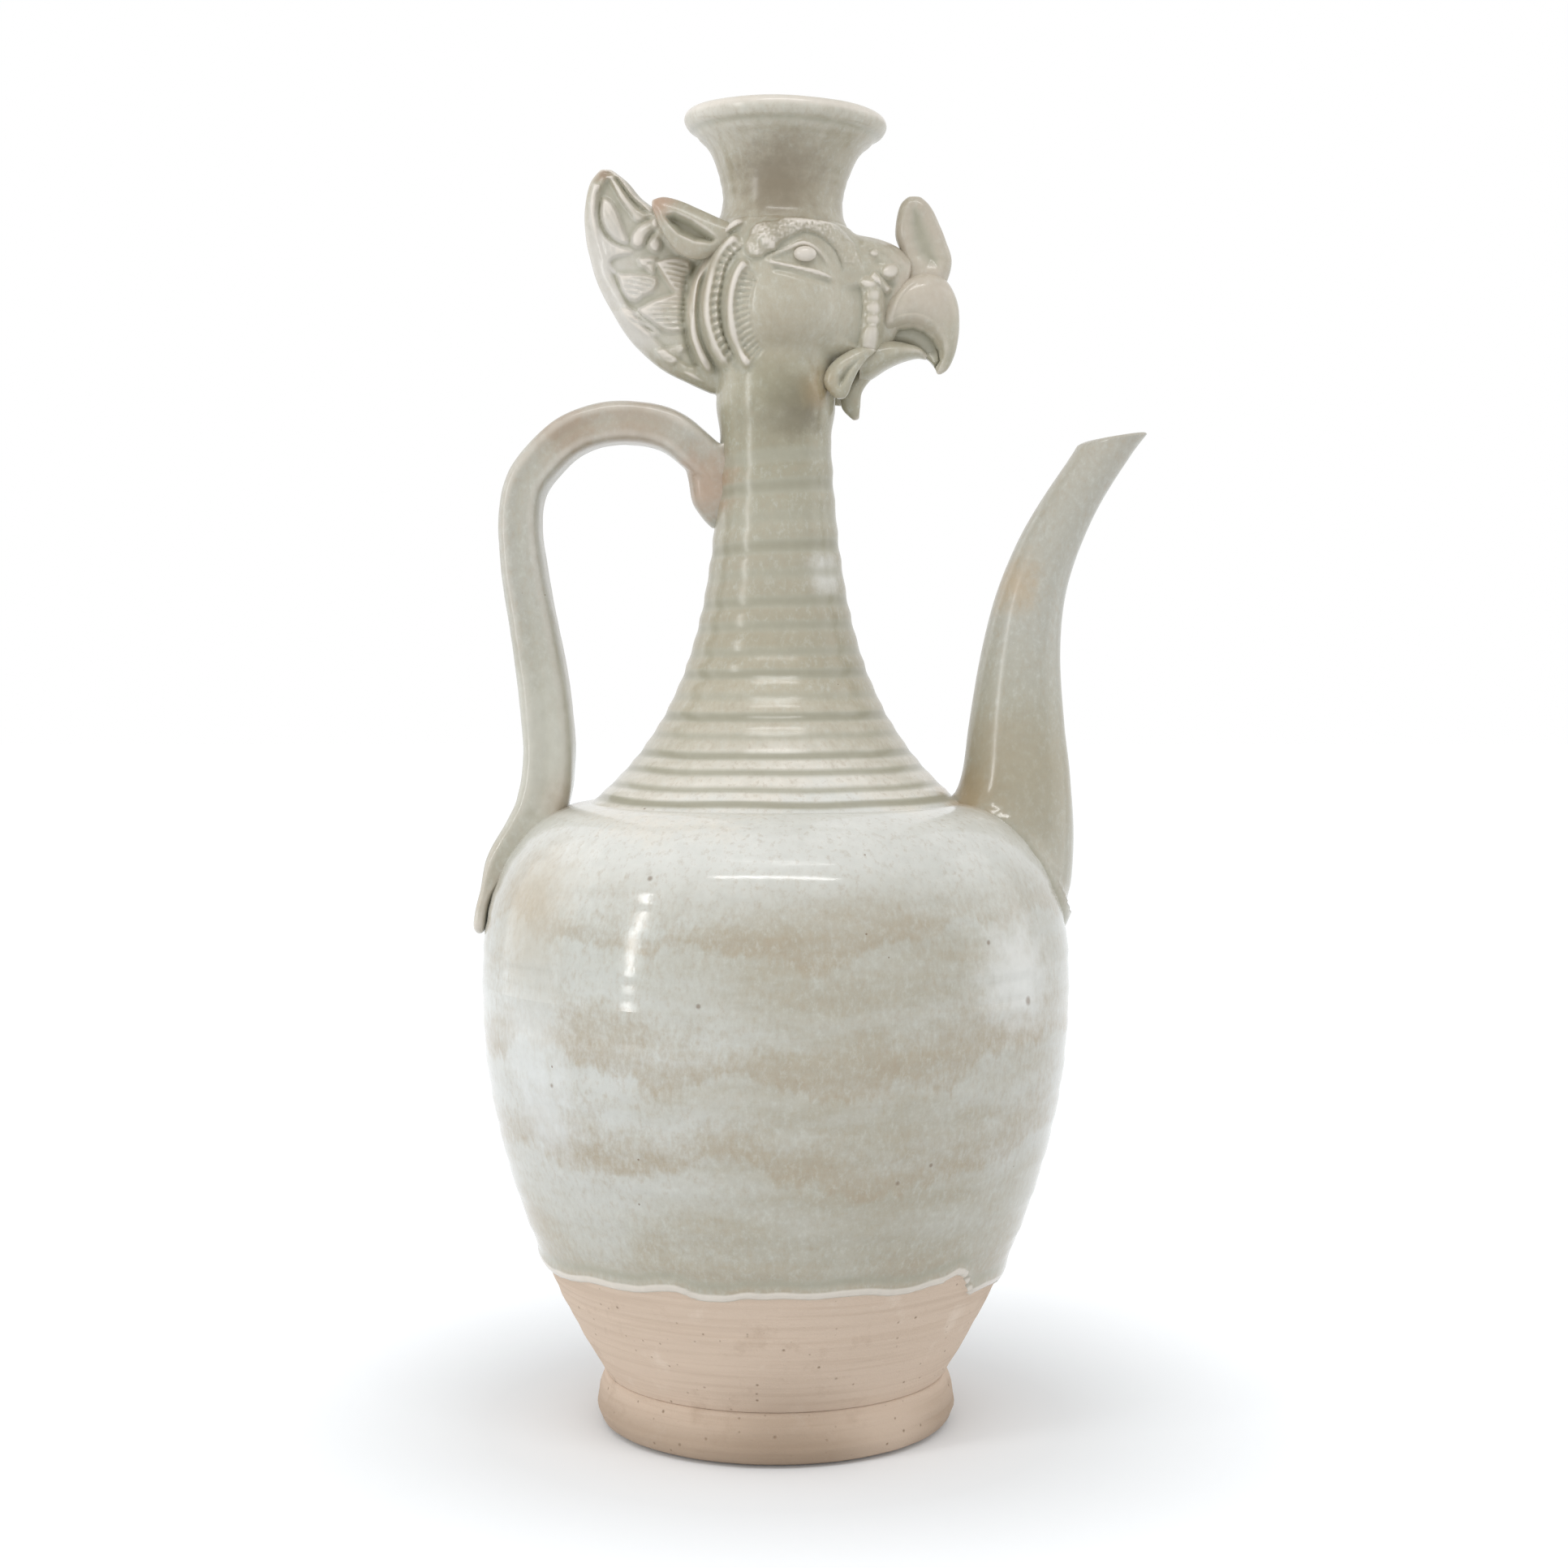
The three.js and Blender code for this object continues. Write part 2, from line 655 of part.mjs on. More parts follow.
// Feathers as [root x, root z, tip x, tip z, half width], laid from the tip of the crest down
const feathers = [
  [-39.5, 52, -50.4, 63, 2.6],
  [-44.4, 43.8, -51.8, 57, 2.6],
  [-43.6, 38.4, -53.4, 52, 2.8],
  [-36.4, 47.4, -42, 44.4, 2.5],
  [-25.6, 34.2, -39.6, 38, 4.4],
  [-33, 31.4, -46.3, 32.6, 3],
  [-25.6, 24.4, -39.7, 24.6, 5],
  [-33.4, 17.8, -44.4, 23.6, 2.7],
  [-24, 11.4, -33.8, 13.6, 2.4],
];

// A feather is a ridged leaf, sunk at its root and standing proud at its tip
function feather([rootX, rootZ, tipX, tipZ, halfWidth]) {
  const run = new THREE.Vector2(tipX - rootX, tipZ - rootZ);
  const across = new THREE.Vector2(-run.y, run.x).normalize();
  const shape = [[0, 0.6, -0.4], [0.45, 1, 0.6], [0.8, 0.75, 1.2], [1, 0.12, 1.2]];
  return loft(shape.map(([t, width, lift]) => {
    const x = rootX + run.x * t;
    const z = rootZ + run.y * t;
    const outer = crestDepth(x, z) + lift;
    const wide = halfWidth * width;
    const at = (offset, y) => new THREE.Vector3(x + across.x * offset, -y, z + across.y * offset);
    return [at(-wide, outer - 1), at(0, outer), at(wide, outer - 1), at(wide, 1), at(-wide, 1)];
  }));
}

function makeCrest(head, outerRuff) {
  const leaf = bladed(between(crestChords, 12), { sides: 10, squareness: crestSquareness });
  const layered = feathers.reduce((solid, place) => solid.add(bothSides(feather(place))), leaf);
  return layered.subtract(head).subtract(bothSides(outerRuff));
}

// An ear on each side, a rolled cone with its hollow facing outwards
function makeEar(head, ruffs) {
  const ear = bladed(between([
    [-36.8, 54.9, -36.8, 52.6, 1.4, -13.6],
    [-33.6, 55.9, -33.4, 45.6, 3.1, -13.6],
    [-28.4, 54.8, -29.2, 40.6, 3.8, -13.6],
    [-22.4, 52.4, -23.6, 38.6, 4, -13.4],
    [-15, 49.6, -17, 41, 3.8, -13],
    [-11, 48, -12, 42.6, 3, -12.6],
  ], 6), { sides: 10 });
  const hollow = bladed(between([
    [-33.8, 50.4, -33.2, 48.6, 1, -16.6],
    [-27, 48.2, -27.6, 44.4, 2.6, -17.6],
    [-20, 45.8, -20.4, 42.8, 1.4, -17.4],
  ], 4), { sides: 8 });
  return ear.subtract(hollow).subtract(head).subtract(ruffs);
}

// Ruffs, brow, lids and pellets

const outerRuffPlaces = [
  [-10.5, 51.2], [-14.9, 48.6], [-21.7, 39], [-25.4, 29], [-25, 19], [-22.1, 11.4], [-18.8, 6.6],
];
const middleRuffPlaces = [
  [-12, 46.4], [-16.4, 43.2], [-20.2, 35.6], [-21.6, 26.2], [-20.2, 17.4], [-16.1, 9.5], [-14.3, 6.9],
];
const innerRuffPlaces = [
  [-9.9, 39], [-13.6, 33], [-14.8, 25.1], [-13.6, 17.2], [-10.3, 10.2], [-7.8, 7.4],
];

function ruff(places, grow = 0) {
  const depth = (x, z) => Math.max(headDepth(x, z), crestDepth(x, z)) + 0.4;
  return roll(places, 1.5, 2.3, { grow, depth });
}

function makeBrow(head) {
  const places = [
    [-6.6, 42], [-4.4, 44.4], [0.5, 46.8], [5.2, 49.2], [10.1, 49], [15.1, 46], [18.8, 42.4], [21, 37.6],
  ];
  const knob = (t) => 0.74 + 0.46 * Math.exp(-(((t - 0.07) / 0.07) ** 2)) + 0.2 * Math.sin(Math.PI * t);
  return roll(places, 2.5, 2.4, { swell: knob, steps: 11 }).subtract(head);
}

function makeEye(head) {
  const ball = new THREE.SphereGeometry(1, 12, 6).rotateX(Math.PI / 2).scale(3.2, 2.6, 2.1)
    .translate(7, -headDepth(7, 40.4), 40.4);
  return toSolid(ball).subtract(head);
}

function makeEyelids(head) {
  const lid = { swell: () => 1, steps: 6 };
  const lower = roll([[-4.6, 38.4], [0.8, 36.8], [8.4, 35.3], [17.4, 33.8]], 0.6, 1.2, lid);
  const upper = roll([[-4, 38], [1.6, 41], [6.8, 43.5], [11.7, 41], [16.6, 34.6]], 0.6, 1.1, lid);
  return lower.add(upper).subtract(head);
}

// A row of pellets down the edge of the cheek, the lowest one larger
function makeBeads(head) {
  const pellets = (t) => 0.5 + 0.5 * Math.abs(Math.sin(Math.PI * 4 * t + 0.35)) + 0.3 * t;
  return roll([[25.8, 33.8], [26.8, 27.4], [26.8, 21], [25.8, 15]], 1.5, 1.5, { swell: pellets, steps: 14 })
    .subtract(head).subtract(wattleForm(seam)).subtract(jawForm(seam));
}

function makeNostril(head) {
  return roll([[25.8, 37], [28.8, 34.9], [31.4, 32.2]], 1, 1.3, { steps: 5 }).subtract(head);
}

// Assembly

const vessel = vesselEnvelope();
addPiece(ewer, 'foot_ring', makeFoot(), clay);
addPiece(ewer, 'lower_body', makeLowerBody());
addPiece(ewer, 'upper_body', makeUpperBody());
addPiece(ewer, 'neck', makeNeck());
addPiece(ewer, 'spout', makeSpout(vessel));
addPiece(ewer, 'handle', makeHandle(vessel));

const head = headEnvelope();
addPiece(headGroup, 'head', makeHead());
addPiece(headGroup, 'mouth_cup', makeCup());
addPiece(headGroup, 'upper_beak', beakForm(0).subtract(head));
addPiece(headGroup, 'lower_beak', jawForm(0).subtract(head).subtract(beakForm(seam)));
addPiece(headGroup, 'beak_comb', makeComb(head));
addPiece(headGroup, 'beard', beardForm(0).subtract(head).subtract(jawForm(seam)));
const outerRuffRoom = ruff(outerRuffPlaces, seam);
addPiece(headGroup, 'crest', makeCrest(head, outerRuffRoom));
addPair('ear', makeEar(head, outerRuffRoom.add(ruff(middleRuffPlaces, seam))));
addPair('wattle', makeWattle(head));
addPair('eye', makeEye(head));
addPair('eyelids', makeEyelids(head));
addPair('brow', makeBrow(head));
addPair('bead_row', makeBeads(head));
addPair('nostril', makeNostril(head));
addPair('ruff_outer', ruff(outerRuffPlaces).subtract(head));
addPair('ruff_middle', ruff(middleRuffPlaces).subtract(head));
addPair('ruff_inner', ruff(innerRuffPlaces).subtract(head));

export default ewer;
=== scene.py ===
"""Phoenix-head ewer in bluish-white glazed stoneware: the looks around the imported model.

Shapes are worked in millimetres in the vessel's frame, and brought to metres when they are done.
Places on the head are measured from the neck's top, before the head leans towards the spout.
"""

import logging
import math
from dataclasses import dataclass, field
from enum import Enum
from functools import partial
from typing import Callable, Protocol, Sequence

import bmesh
import bpy
import numpy as np
from mathutils import Matrix, Vector, noise

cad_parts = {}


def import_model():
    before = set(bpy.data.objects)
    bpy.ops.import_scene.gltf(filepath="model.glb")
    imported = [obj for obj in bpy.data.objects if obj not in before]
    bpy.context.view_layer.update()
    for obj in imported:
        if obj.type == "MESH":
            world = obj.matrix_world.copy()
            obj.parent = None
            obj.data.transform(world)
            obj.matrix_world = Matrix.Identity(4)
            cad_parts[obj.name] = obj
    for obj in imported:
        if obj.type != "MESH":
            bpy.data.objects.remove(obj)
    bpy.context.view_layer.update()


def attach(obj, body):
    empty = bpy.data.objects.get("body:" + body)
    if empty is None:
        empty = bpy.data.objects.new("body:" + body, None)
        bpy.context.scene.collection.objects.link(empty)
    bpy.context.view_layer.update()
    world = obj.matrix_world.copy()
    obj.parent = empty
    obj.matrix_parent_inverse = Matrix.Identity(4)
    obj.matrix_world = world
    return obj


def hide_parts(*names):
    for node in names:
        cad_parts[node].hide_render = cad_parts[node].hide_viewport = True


log = logging.getLogger("ewer")

MM = 0.001
UPRIGHT = Matrix.Identity(4)
Place = tuple[float, float]
Array = np.ndarray
Tree = bpy.types.NodeTree
Socket = bpy.types.NodeSocket
Material = bpy.types.Material
Adder = Callable[..., bpy.types.Node]


def smoothstep(low: float, high: float, value: Array | float) -> Array:
    """Rise smoothly from 0 at low to 1 at high."""
    share = np.clip((value - low) / (high - low), 0.0, 1.0)
    return share * share * (3 - 2 * share)


def bump(value: Array, centre: float, width: float) -> Array:
    """A rounded rise of height 1 round a centre."""
    return np.exp(-(((value - centre) / width) ** 2))


def unevenness(points: Array, grain: float) -> Array:
    """Hand-made unevenness, between about -1 and 1.

    Args:
        points: places in mm, one a row.
        grain: size of a lump in mm.

    Returns:
        One number for each place.
    """
    return np.array([noise.noise(Vector(point) / grain) for point in points])


def widened(places: Array, scale: Array) -> Array:
    """Scale each place's distance from the upright axis."""
    return places * np.stack([scale, scale, np.ones_like(scale)], axis=1)


def from_axis(places: Array) -> Array:
    """Each place's distance from the upright axis."""
    return np.hypot(places[:, 0], places[:, 1])


def link(made: bpy.types.Object) -> None:
    """Put an object in the scene."""
    bpy.context.scene.collection.objects.link(made)


class SmoothLine:
    """A smooth line through stations that may carry any number of values."""

    def __init__(self, stations: Sequence[Sequence[float]] | Array) -> None:
        """Keep the stations and one more beyond each end.

        Args:
            stations: values at each station, one a row.
        """
        given = np.array(stations, dtype=float)
        before = 2 * given[0] - given[1]
        after = 2 * given[-1] - given[-2]
        self.stations = np.vstack([before, given, after])
        self.spans = len(given) - 1

    def at(self, share: float) -> Array:
        """Work out the values at one place.

        Args:
            share: the share of the way along, from 0 to 1.

        Returns:
            The values there.
        """
        place = min(max(share, 0.0), 1.0) * self.spans
        first = min(int(place), self.spans - 1)
        part = place - first
        a, b, c, d = self.stations[first:first + 4]
        gaps = [max(math.sqrt(float(np.linalg.norm(q - p))), 1e-4) for p, q in ((a, b), (b, c), (c, d))]
        start = ((b - a) / gaps[0] - (c - a) / (gaps[0] + gaps[1]) + (c - b) / gaps[1]) * gaps[1]
        end = ((c - b) / gaps[1] - (d - b) / (gaps[1] + gaps[2]) + (d - c) / gaps[2]) * gaps[1]
        cubic = 2 * b - 2 * c + start + end
        square = -3 * b + 3 * c - 2 * start - end
        return ((cubic * part + square) * part + start) * part + b

    def spread(self, count: int) -> Array:
        """Values at count equal steps from end to end."""
        return np.array([self.at(i / count) for i in range(count + 1)])


def section(half_wide: float, half_high: float, sides: int, squareness: float = 2.0) -> Array:
    """Points round an ellipse, or round a softened rectangle where squareness is over 2.

    Args:
        half_wide: half the width in mm.
        half_high: half the height in mm.
        sides: how many points.
        squareness: 2 for an ellipse.

    Returns:
        The points, one a row.
    """
    angle = np.linspace(0, 2 * math.pi, sides, endpoint=False)
    power = 2 / squareness
    wide, high = np.cos(angle), np.sin(angle)
    return np.stack([
        half_wide * np.sign(wide) * np.abs(wide) ** power,
        half_high * np.sign(high) * np.abs(high) ** power,
    ], axis=1)


def chord_rings(chords: Sequence[Sequence[float]], count: int, sides: int = 32,
                squareness: float = 2.0) -> list[Array]:
    """Rings standing on chords of a form seen from the side.

    Args:
        chords: rows of x1, z1, x2, z2, half thickness and, if it isn't 0, the middle's y.
        count: how many steps to fill in.
        sides: points round a ring.
        squareness: 2 for an ellipse.

    Returns:
        One array of places for each ring.
    """
    rows = np.array([(list(chord) + [0.0])[:6] for chord in chords])
    first = SmoothLine(rows[:, [0, 1, 4]]).spread(count)
    second = SmoothLine(rows[:, [2, 3, 5]]).spread(count)
    rings = []
    for (x1, z1, half), (x2, z2, middle) in zip(first, second):
        centre = np.array([(x1 + x2) / 2, middle, (z1 + z2) / 2])
        along = np.array([x2 - x1, 0.0, z2 - z1]) / 2
        reach = float(np.linalg.norm(along))
        flat = section(reach, half, sides, squareness)
        rings.append(centre + flat[:, :1] * along / reach + flat[:, 1:] * np.array([0.0, 1.0, 0.0]))
    return rings


def loft(shape: bmesh.types.BMesh, rings: Sequence[Array], closed: bool = False) -> None:
    """Extrude a circle of clay from ring to ring.

    Args:
        shape: where the skin is made.
        rings: places of each ring, in the same order round.
        closed: join the last ring to the first, and don't cap the ends.
    """
    circle = bmesh.ops.create_circle(shape, cap_ends=False, segments=len(rings[0]), radius=1.0)
    verts = circle["verts"]
    ring_edges = [shape.edges.get((verts[i - 1], verts[i])) for i in range(len(verts))]
    first_edges = ring_edges
    for vert, place in zip(verts, rings[0]):
        vert.co = place
    for ring in rings[1:]:
        made = bmesh.ops.extrude_edge_only(shape, edges=ring_edges)["geom"]
        fresh = {item for item in made if isinstance(item, bmesh.types.BMVert)}
        verts = [next(e.other_vert(v) for e in v.link_edges if e.other_vert(v) in fresh) for v in verts]
        ring_edges = [shape.edges.get((verts[i - 1], verts[i])) for i in range(len(verts))]
        for vert, place in zip(verts, ring):
            vert.co = place
    if closed:
        bmesh.ops.bridge_loops(shape, edges=first_edges + ring_edges)
    else:
        bmesh.ops.holes_fill(shape, edges=first_edges + ring_edges, sides=0)


def turn(shape: bmesh.types.BMesh, outline: Sequence[Place] | Array, steps: int) -> None:
    """Spin a closed half outline about the upright axis.

    Args:
        shape: where the skin is made.
        outline: radius and height of each corner.
        steps: faces round the axis.
    """
    verts = [shape.verts.new((radius, 0.0, height)) for radius, height in outline]
    edges = [shape.edges.new((verts[i - 1], verts[i])) for i in range(len(verts))]
    bmesh.ops.spin(
        shape, geom=verts + edges, cent=(0, 0, 0), axis=(0, 0, 1), angle=2 * math.pi, steps=steps,
        use_merge=True)
    bmesh.ops.remove_doubles(shape, verts=shape.verts, dist=1e-4)


class Skin:
    """A mesh of clay that is fused, softened and carved before it becomes a piece."""

    def __init__(self, shape: bmesh.types.BMesh) -> None:
        """Take the shape over, with its faces turned outwards."""
        bmesh.ops.recalc_face_normals(shape, faces=shape.faces)
        self.mesh = bpy.data.meshes.new("clay")
        shape.to_mesh(self.mesh)
        shape.free()

    def through(self, kind: str, **settings: object) -> "Skin":
        """Run the mesh through one modifier.

        Args:
            kind: the modifier's type.
            settings: the modifier's own settings.

        Returns:
            This skin.
        """
        holder = bpy.data.objects.new("clay", self.mesh)
        link(holder)
        modifier = holder.modifiers.new(kind, kind)
        for name, value in settings.items():
            setattr(modifier, name, value)
        shown = holder.evaluated_get(bpy.context.evaluated_depsgraph_get())
        made = bpy.data.meshes.new_from_object(shown)
        bpy.data.objects.remove(holder)
        bpy.data.meshes.remove(self.mesh)
        self.mesh = made
        return self

    def fuse(self, grain: float, softening: int) -> "Skin":
        """Fuse overlapping forms into one skin and soften the joins.

        Args:
            grain: size of the new faces in mm.
            softening: passes of smoothing.

        Returns:
            This skin.
        """
        self.through("REMESH", mode="VOXEL", voxel_size=grain, adaptivity=0.0)
        return self.soften(softening)

    def soften(self, passes: int, free: Array | None = None) -> "Skin":
        """Smooth the skin, or only the points that are free to move.

        Args:
            passes: how often.
            free: how free each point is to move, from 0 to 1.

        Returns:
            This skin.
        """
        before = self.places
        self.through("SMOOTH", factor=0.5, iterations=passes)
        if free is not None:
            self.places = before + (self.places - before) * free[:, None]
        return self

    def cut_turned(self, outline: Sequence[Place], steps: int = 96) -> "Skin":
        """Cut a turned form out of the skin.

        Args:
            outline: radius and height of each corner of the form.
            steps: faces round the axis.

        Returns:
            This skin.
        """
        tool = bmesh.new()
        turn(tool, outline, steps)
        cutter = bpy.data.objects.new("cutter", Skin(tool).mesh)
        link(cutter)
        self.through("BOOLEAN", object=cutter, operation="DIFFERENCE", solver="EXACT")
        bpy.data.objects.remove(cutter)
        return self

    @property
    def places(self) -> Array:
        """Where each point of the skin is."""
        flat = np.empty(len(self.mesh.vertices) * 3)
        self.mesh.vertices.foreach_get("co", flat)
        return flat.reshape(-1, 3)

    @places.setter
    def places(self, wanted: Array) -> None:
        """Move each point of the skin."""
        self.mesh.vertices.foreach_set("co", wanted.ravel())
        self.mesh.update()

    @property
    def outwards(self) -> Array:
        """Which way the skin faces at each point."""
        flat = np.empty(len(self.mesh.vertices) * 3)
        self.mesh.vertex_normals.foreach_get("vector", flat)
        return flat.reshape(-1, 3)

    def raise_by(self, relief: Array) -> "Skin":
        """Raise the skin outwards by so many mm at each point, or cut it where that is below 0."""
        self.places = self.places + self.outwards * relief[:, None]
        return self

    def carve(self, forms: Sequence["Relief"], shy: float = 0.08, free: Array | float = 1.0) -> "Skin":
        """Raise and cut forms that are drawn on the side view, on both sides at once.

        Args:
            forms: what is carved.
            shy: how little the skin may face sideways before a form fades.
            free: the share of each form that is carved at each point.

        Returns:
            This skin.
        """
        places = self.places
        facing = self.outwards[:, 1]
        total = np.zeros(len(places))
        for form in forms:
            total += form.relief(places[:, 0], places[:, 2])
        relief = free * total
        places[:, 1] += relief * np.sign(facing) * smoothstep(shy, shy + 0.35, np.abs(facing))
        self.places = places
        return self

    def mark(self, name: str, values: Array) -> "Skin":
        """Keep a number at each point for the finish to read."""
        self.mesh.attributes.new(name, "FLOAT", "POINT").data.foreach_set("value", values)
        return self

    def hollowness(self, passes: int = 100) -> Array:
        """How deep each point lies in a hollow, in mm, below 0 on a ridge.

        Args:
            passes: smoothing of the skin that it is measured against.

        Returns:
            One number for each point.
        """
        shape = bmesh.new()
        shape.from_mesh(self.mesh)
        copy = Skin(shape)
        rounded = copy.soften(passes).places
        bpy.data.meshes.remove(copy.mesh)
        depth = np.sum((rounded - self.places) * self.outwards, axis=1)
        return depth - np.median(depth)

    def piece(self, name: str, finish: Material, stands_for: Sequence[str], slot: str = "celadon_glaze",
              place: Matrix = UPRIGHT, sharp: float = 42.0) -> bpy.types.Object:
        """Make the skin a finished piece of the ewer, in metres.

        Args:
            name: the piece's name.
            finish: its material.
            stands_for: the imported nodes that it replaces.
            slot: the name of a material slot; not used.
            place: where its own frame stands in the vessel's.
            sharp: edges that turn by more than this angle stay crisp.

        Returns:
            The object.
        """
        self.mesh.transform(Matrix.Scale(MM, 4) @ place)
        self.mesh.shade_smooth()
        self.mesh.set_sharp_from_angle(angle=math.radians(sharp))
        self.mesh.materials.clear()
        self.mesh.materials.append(finish)
        self.mesh.name = name
        made = bpy.data.objects.new(name, self.mesh)
        link(made)
        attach(made, "root")
        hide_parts(*stands_for)
        log.info("%s: %d points", name, len(self.mesh.vertices))
        return made

    def mirrored(self) -> "Skin":
        """A copy for the other side."""
        shape = bmesh.new()
        shape.from_mesh(self.mesh)
        bmesh.ops.scale(shape, vec=(1, -1, 1), verts=shape.verts)
        bmesh.ops.recalc_face_normals(shape, faces=shape.faces)
        return Skin(shape)


class Relief(Protocol):
    """A form that is drawn on the head's side view and carved on both sides."""

    def relief(self, x: Array, z: Array) -> Array:
        """How far the form stands out at each place, in mm."""


class SideLine:
    """A line drawn on the side view."""

    FAR = 99.0

    def __init__(self, stations: Sequence[Place], pieces: int = 36) -> None:
        """Fit a smooth line through the stations."""
        self.points = SmoothLine(stations).spread(pieces)

    def measure(self, x: Array, z: Array, reach: float) -> tuple[Array, ...]:
        """Measure places against the line.

        Args:
            x: places along the vessel's side view.
            z: heights.
            reach: how far from the line it matters, in mm.

        Returns:
            The distance, over 0 to the left of the line's run, the mm along it and the share of it.
        """
        away = np.full(x.shape, self.FAR)
        along = np.zeros(x.shape)
        low, high = self.points.min(axis=0) - reach, self.points.max(axis=0) + reach
        close = (x > low[0]) & (x < high[0]) & (z > low[1]) & (z < high[1])
        start, run = self.points[:-1], np.diff(self.points, axis=0)
        length = np.maximum(np.hypot(run[:, 0], run[:, 1]), 1e-6)
        dx, dz = x[close, None] - start[:, 0], z[close, None] - start[:, 1]
        share = np.clip((dx * run[:, 0] + dz * run[:, 1]) / length ** 2, 0, 1)
        gaps = np.hypot(dx - share * run[:, 0], dz - share * run[:, 1])
        best = gaps.argmin(axis=1)
        row = np.arange(len(best))
        side = (run[:, 0] * dz - run[:, 1] * dx)[row, best]
        done = np.concatenate([[0.0], np.cumsum(length)])
        away[close] = gaps[row, best] * np.where(side < 0, -1.0, 1.0)
        along[close] = done[best] + share[row, best] * length[best]
        return away, along, along / done[-1]


def depth_inside(outline: Sequence[Place] | Array, x: Array, z: Array, reach: float = 2.0) -> Array:
    """How deep each place lies inside a closed outline, in mm, and below 0 outside it.

    Args:
        outline: corners of the outline.
        x: places along the side view.
        z: heights.
        reach: how far outside it is measured, in mm.

    Returns:
        One number for each place.
    """
    corners = np.array(outline)
    ends = np.roll(corners, -1, axis=0)
    depth = np.full(x.shape, -reach)
    low, high = corners.min(axis=0) - reach, corners.max(axis=0) + reach
    close = (x > low[0]) & (x < high[0]) & (z > low[1]) & (z < high[1])
    px, pz = x[close, None], z[close, None]
    run = ends - corners
    share = ((px - corners[:, 0]) * run[:, 0] + (pz - corners[:, 1]) * run[:, 1]) / np.sum(run ** 2, axis=1)
    share = np.clip(share, 0, 1)
    gap = np.hypot(px - corners[:, 0] - share * run[:, 0], pz - corners[:, 1] - share * run[:, 1])
    straddles = (corners[:, 1] > pz) != (ends[:, 1] > pz)
    steep = np.where(np.abs(run[:, 1]) < 1e-9, 1e-9, run[:, 1])
    crossing = corners[:, 0] + (pz - corners[:, 1]) / steep * run[:, 0]
    within = np.sum(straddles & (px < crossing), axis=1) % 2 == 1
    depth[close] = np.where(within, gap.min(axis=1), -gap.min(axis=1))
    return depth


@dataclass(frozen=True)
class Roll:
    """A rolled strip of clay, or a soft valley where its height is below 0."""

    KNOB_PLACE = 0.08
    KNOB_LENGTH = 0.07
    STIPPLE_GRAIN = 0.75

    stations: tuple[Place, ...]
    half_width: float
    height: float
    tapering: float = 0.12
    stipple: float = 0.0
    knob: float = 0.0

    def relief(self, x: Array, z: Array) -> Array:
        """How far the strip stands out at each place, in mm.

        Args:
            x: places along the side view.
            z: heights.

        Returns:
            One number for each place.
        """
        away, _, share = SideLine(self.stations).measure(x, z, self.half_width * 2)
        swell = 1 + self.knob * bump(share, self.KNOB_PLACE, self.KNOB_LENGTH)
        reach = np.abs(away) / (self.half_width * swell)
        ends = smoothstep(-0.001, self.tapering, share) * (1 - smoothstep(1 - self.tapering, 1.001, share))
        dome = np.clip(1 - reach ** 2, 0, 1)
        rounded = np.sqrt(dome) if self.height > 0 else dome ** 2
        held = ends if self.knob == 0.0 else 1 - smoothstep(1 - self.tapering, 1.001, share)
        stands = self.height * swell * rounded * held
        if self.stipple:
            close = reach < 1
            points = np.stack([x[close], np.zeros(close.sum()), z[close]], axis=1)
            lumps = self.stipple * unevenness(points, self.STIPPLE_GRAIN)
            stands[close] += lumps * rounded[close] * held[close]
        return stands


@dataclass(frozen=True)
class Pellet:
    """An oval lump of clay pressed on, or a dimple where its height is below 0."""

    centre: Place
    half_wide: float
    half_high: float
    height: float
    turned: float = 0.0
    soft: bool = False

    def relief(self, x: Array, z: Array) -> Array:
        """How far the lump stands out at each place, in mm.

        Args:
            x: places along the side view.
            z: heights.

        Returns:
            One number for each place.
        """
        cosine, sine = math.cos(math.radians(self.turned)), math.sin(math.radians(self.turned))
        dx, dz = x - self.centre[0], z - self.centre[1]
        wide, high = dx * cosine + dz * sine, dz * cosine - dx * sine
        reach = (wide / self.half_wide) ** 2 + (high / self.half_high) ** 2
        dome = np.clip(1 - reach, 0, 1)
        return self.height * (dome ** 2 if self.soft else np.sqrt(dome))


@dataclass(frozen=True)
class Ruff:
    """A row of short feathers: a ridge with barbs that fade towards the beak."""

    stations: tuple[Place, ...]
    cape: float = 5.5
    fade: float = 1.0
    height: float = 2.0
    shade: float = 1.2
    barb_pitch: float = 2.3
    barb_depth: float = 0.45
    groove: float = 0.9
    ridge_place: float = 1.2
    ridge_width: float = 1.5
    barbs_from: float = 1.9
    barbs_full: float = 2.9
    groove_place: float = -1.4
    groove_width: float = 1.1

    def relief(self, x: Array, z: Array) -> Array:
        """How far the ruff stands out at each place, in mm.

        Args:
            x: places along the side view.
            z: heights.

        Returns:
            One number for each place.
        """
        away, along, share = SideLine(self.stations).measure(x, z, self.cape + 3)
        ends = smoothstep(-0.001, 0.07, share) * (1 - smoothstep(0.9, 1.001, share))
        ridge = self.height * bump(away, self.ridge_place, self.ridge_width)
        cape = self.shade * smoothstep(-0.7, 0.6, away)
        cape *= 1 - smoothstep(self.cape - self.fade, self.cape, away)
        combed = 0.5 - 0.5 * np.cos(2 * math.pi * (along + 0.3 * away) / self.barb_pitch)
        barbs = self.barb_depth * combed * smoothstep(self.barbs_from, self.barbs_full, away)
        barbs *= 1 - smoothstep(self.cape - 0.4, self.cape + 0.4, away)
        groove = self.groove * bump(away, self.groove_place, self.groove_width)
        return ends * (ridge + cape - barbs - groove)


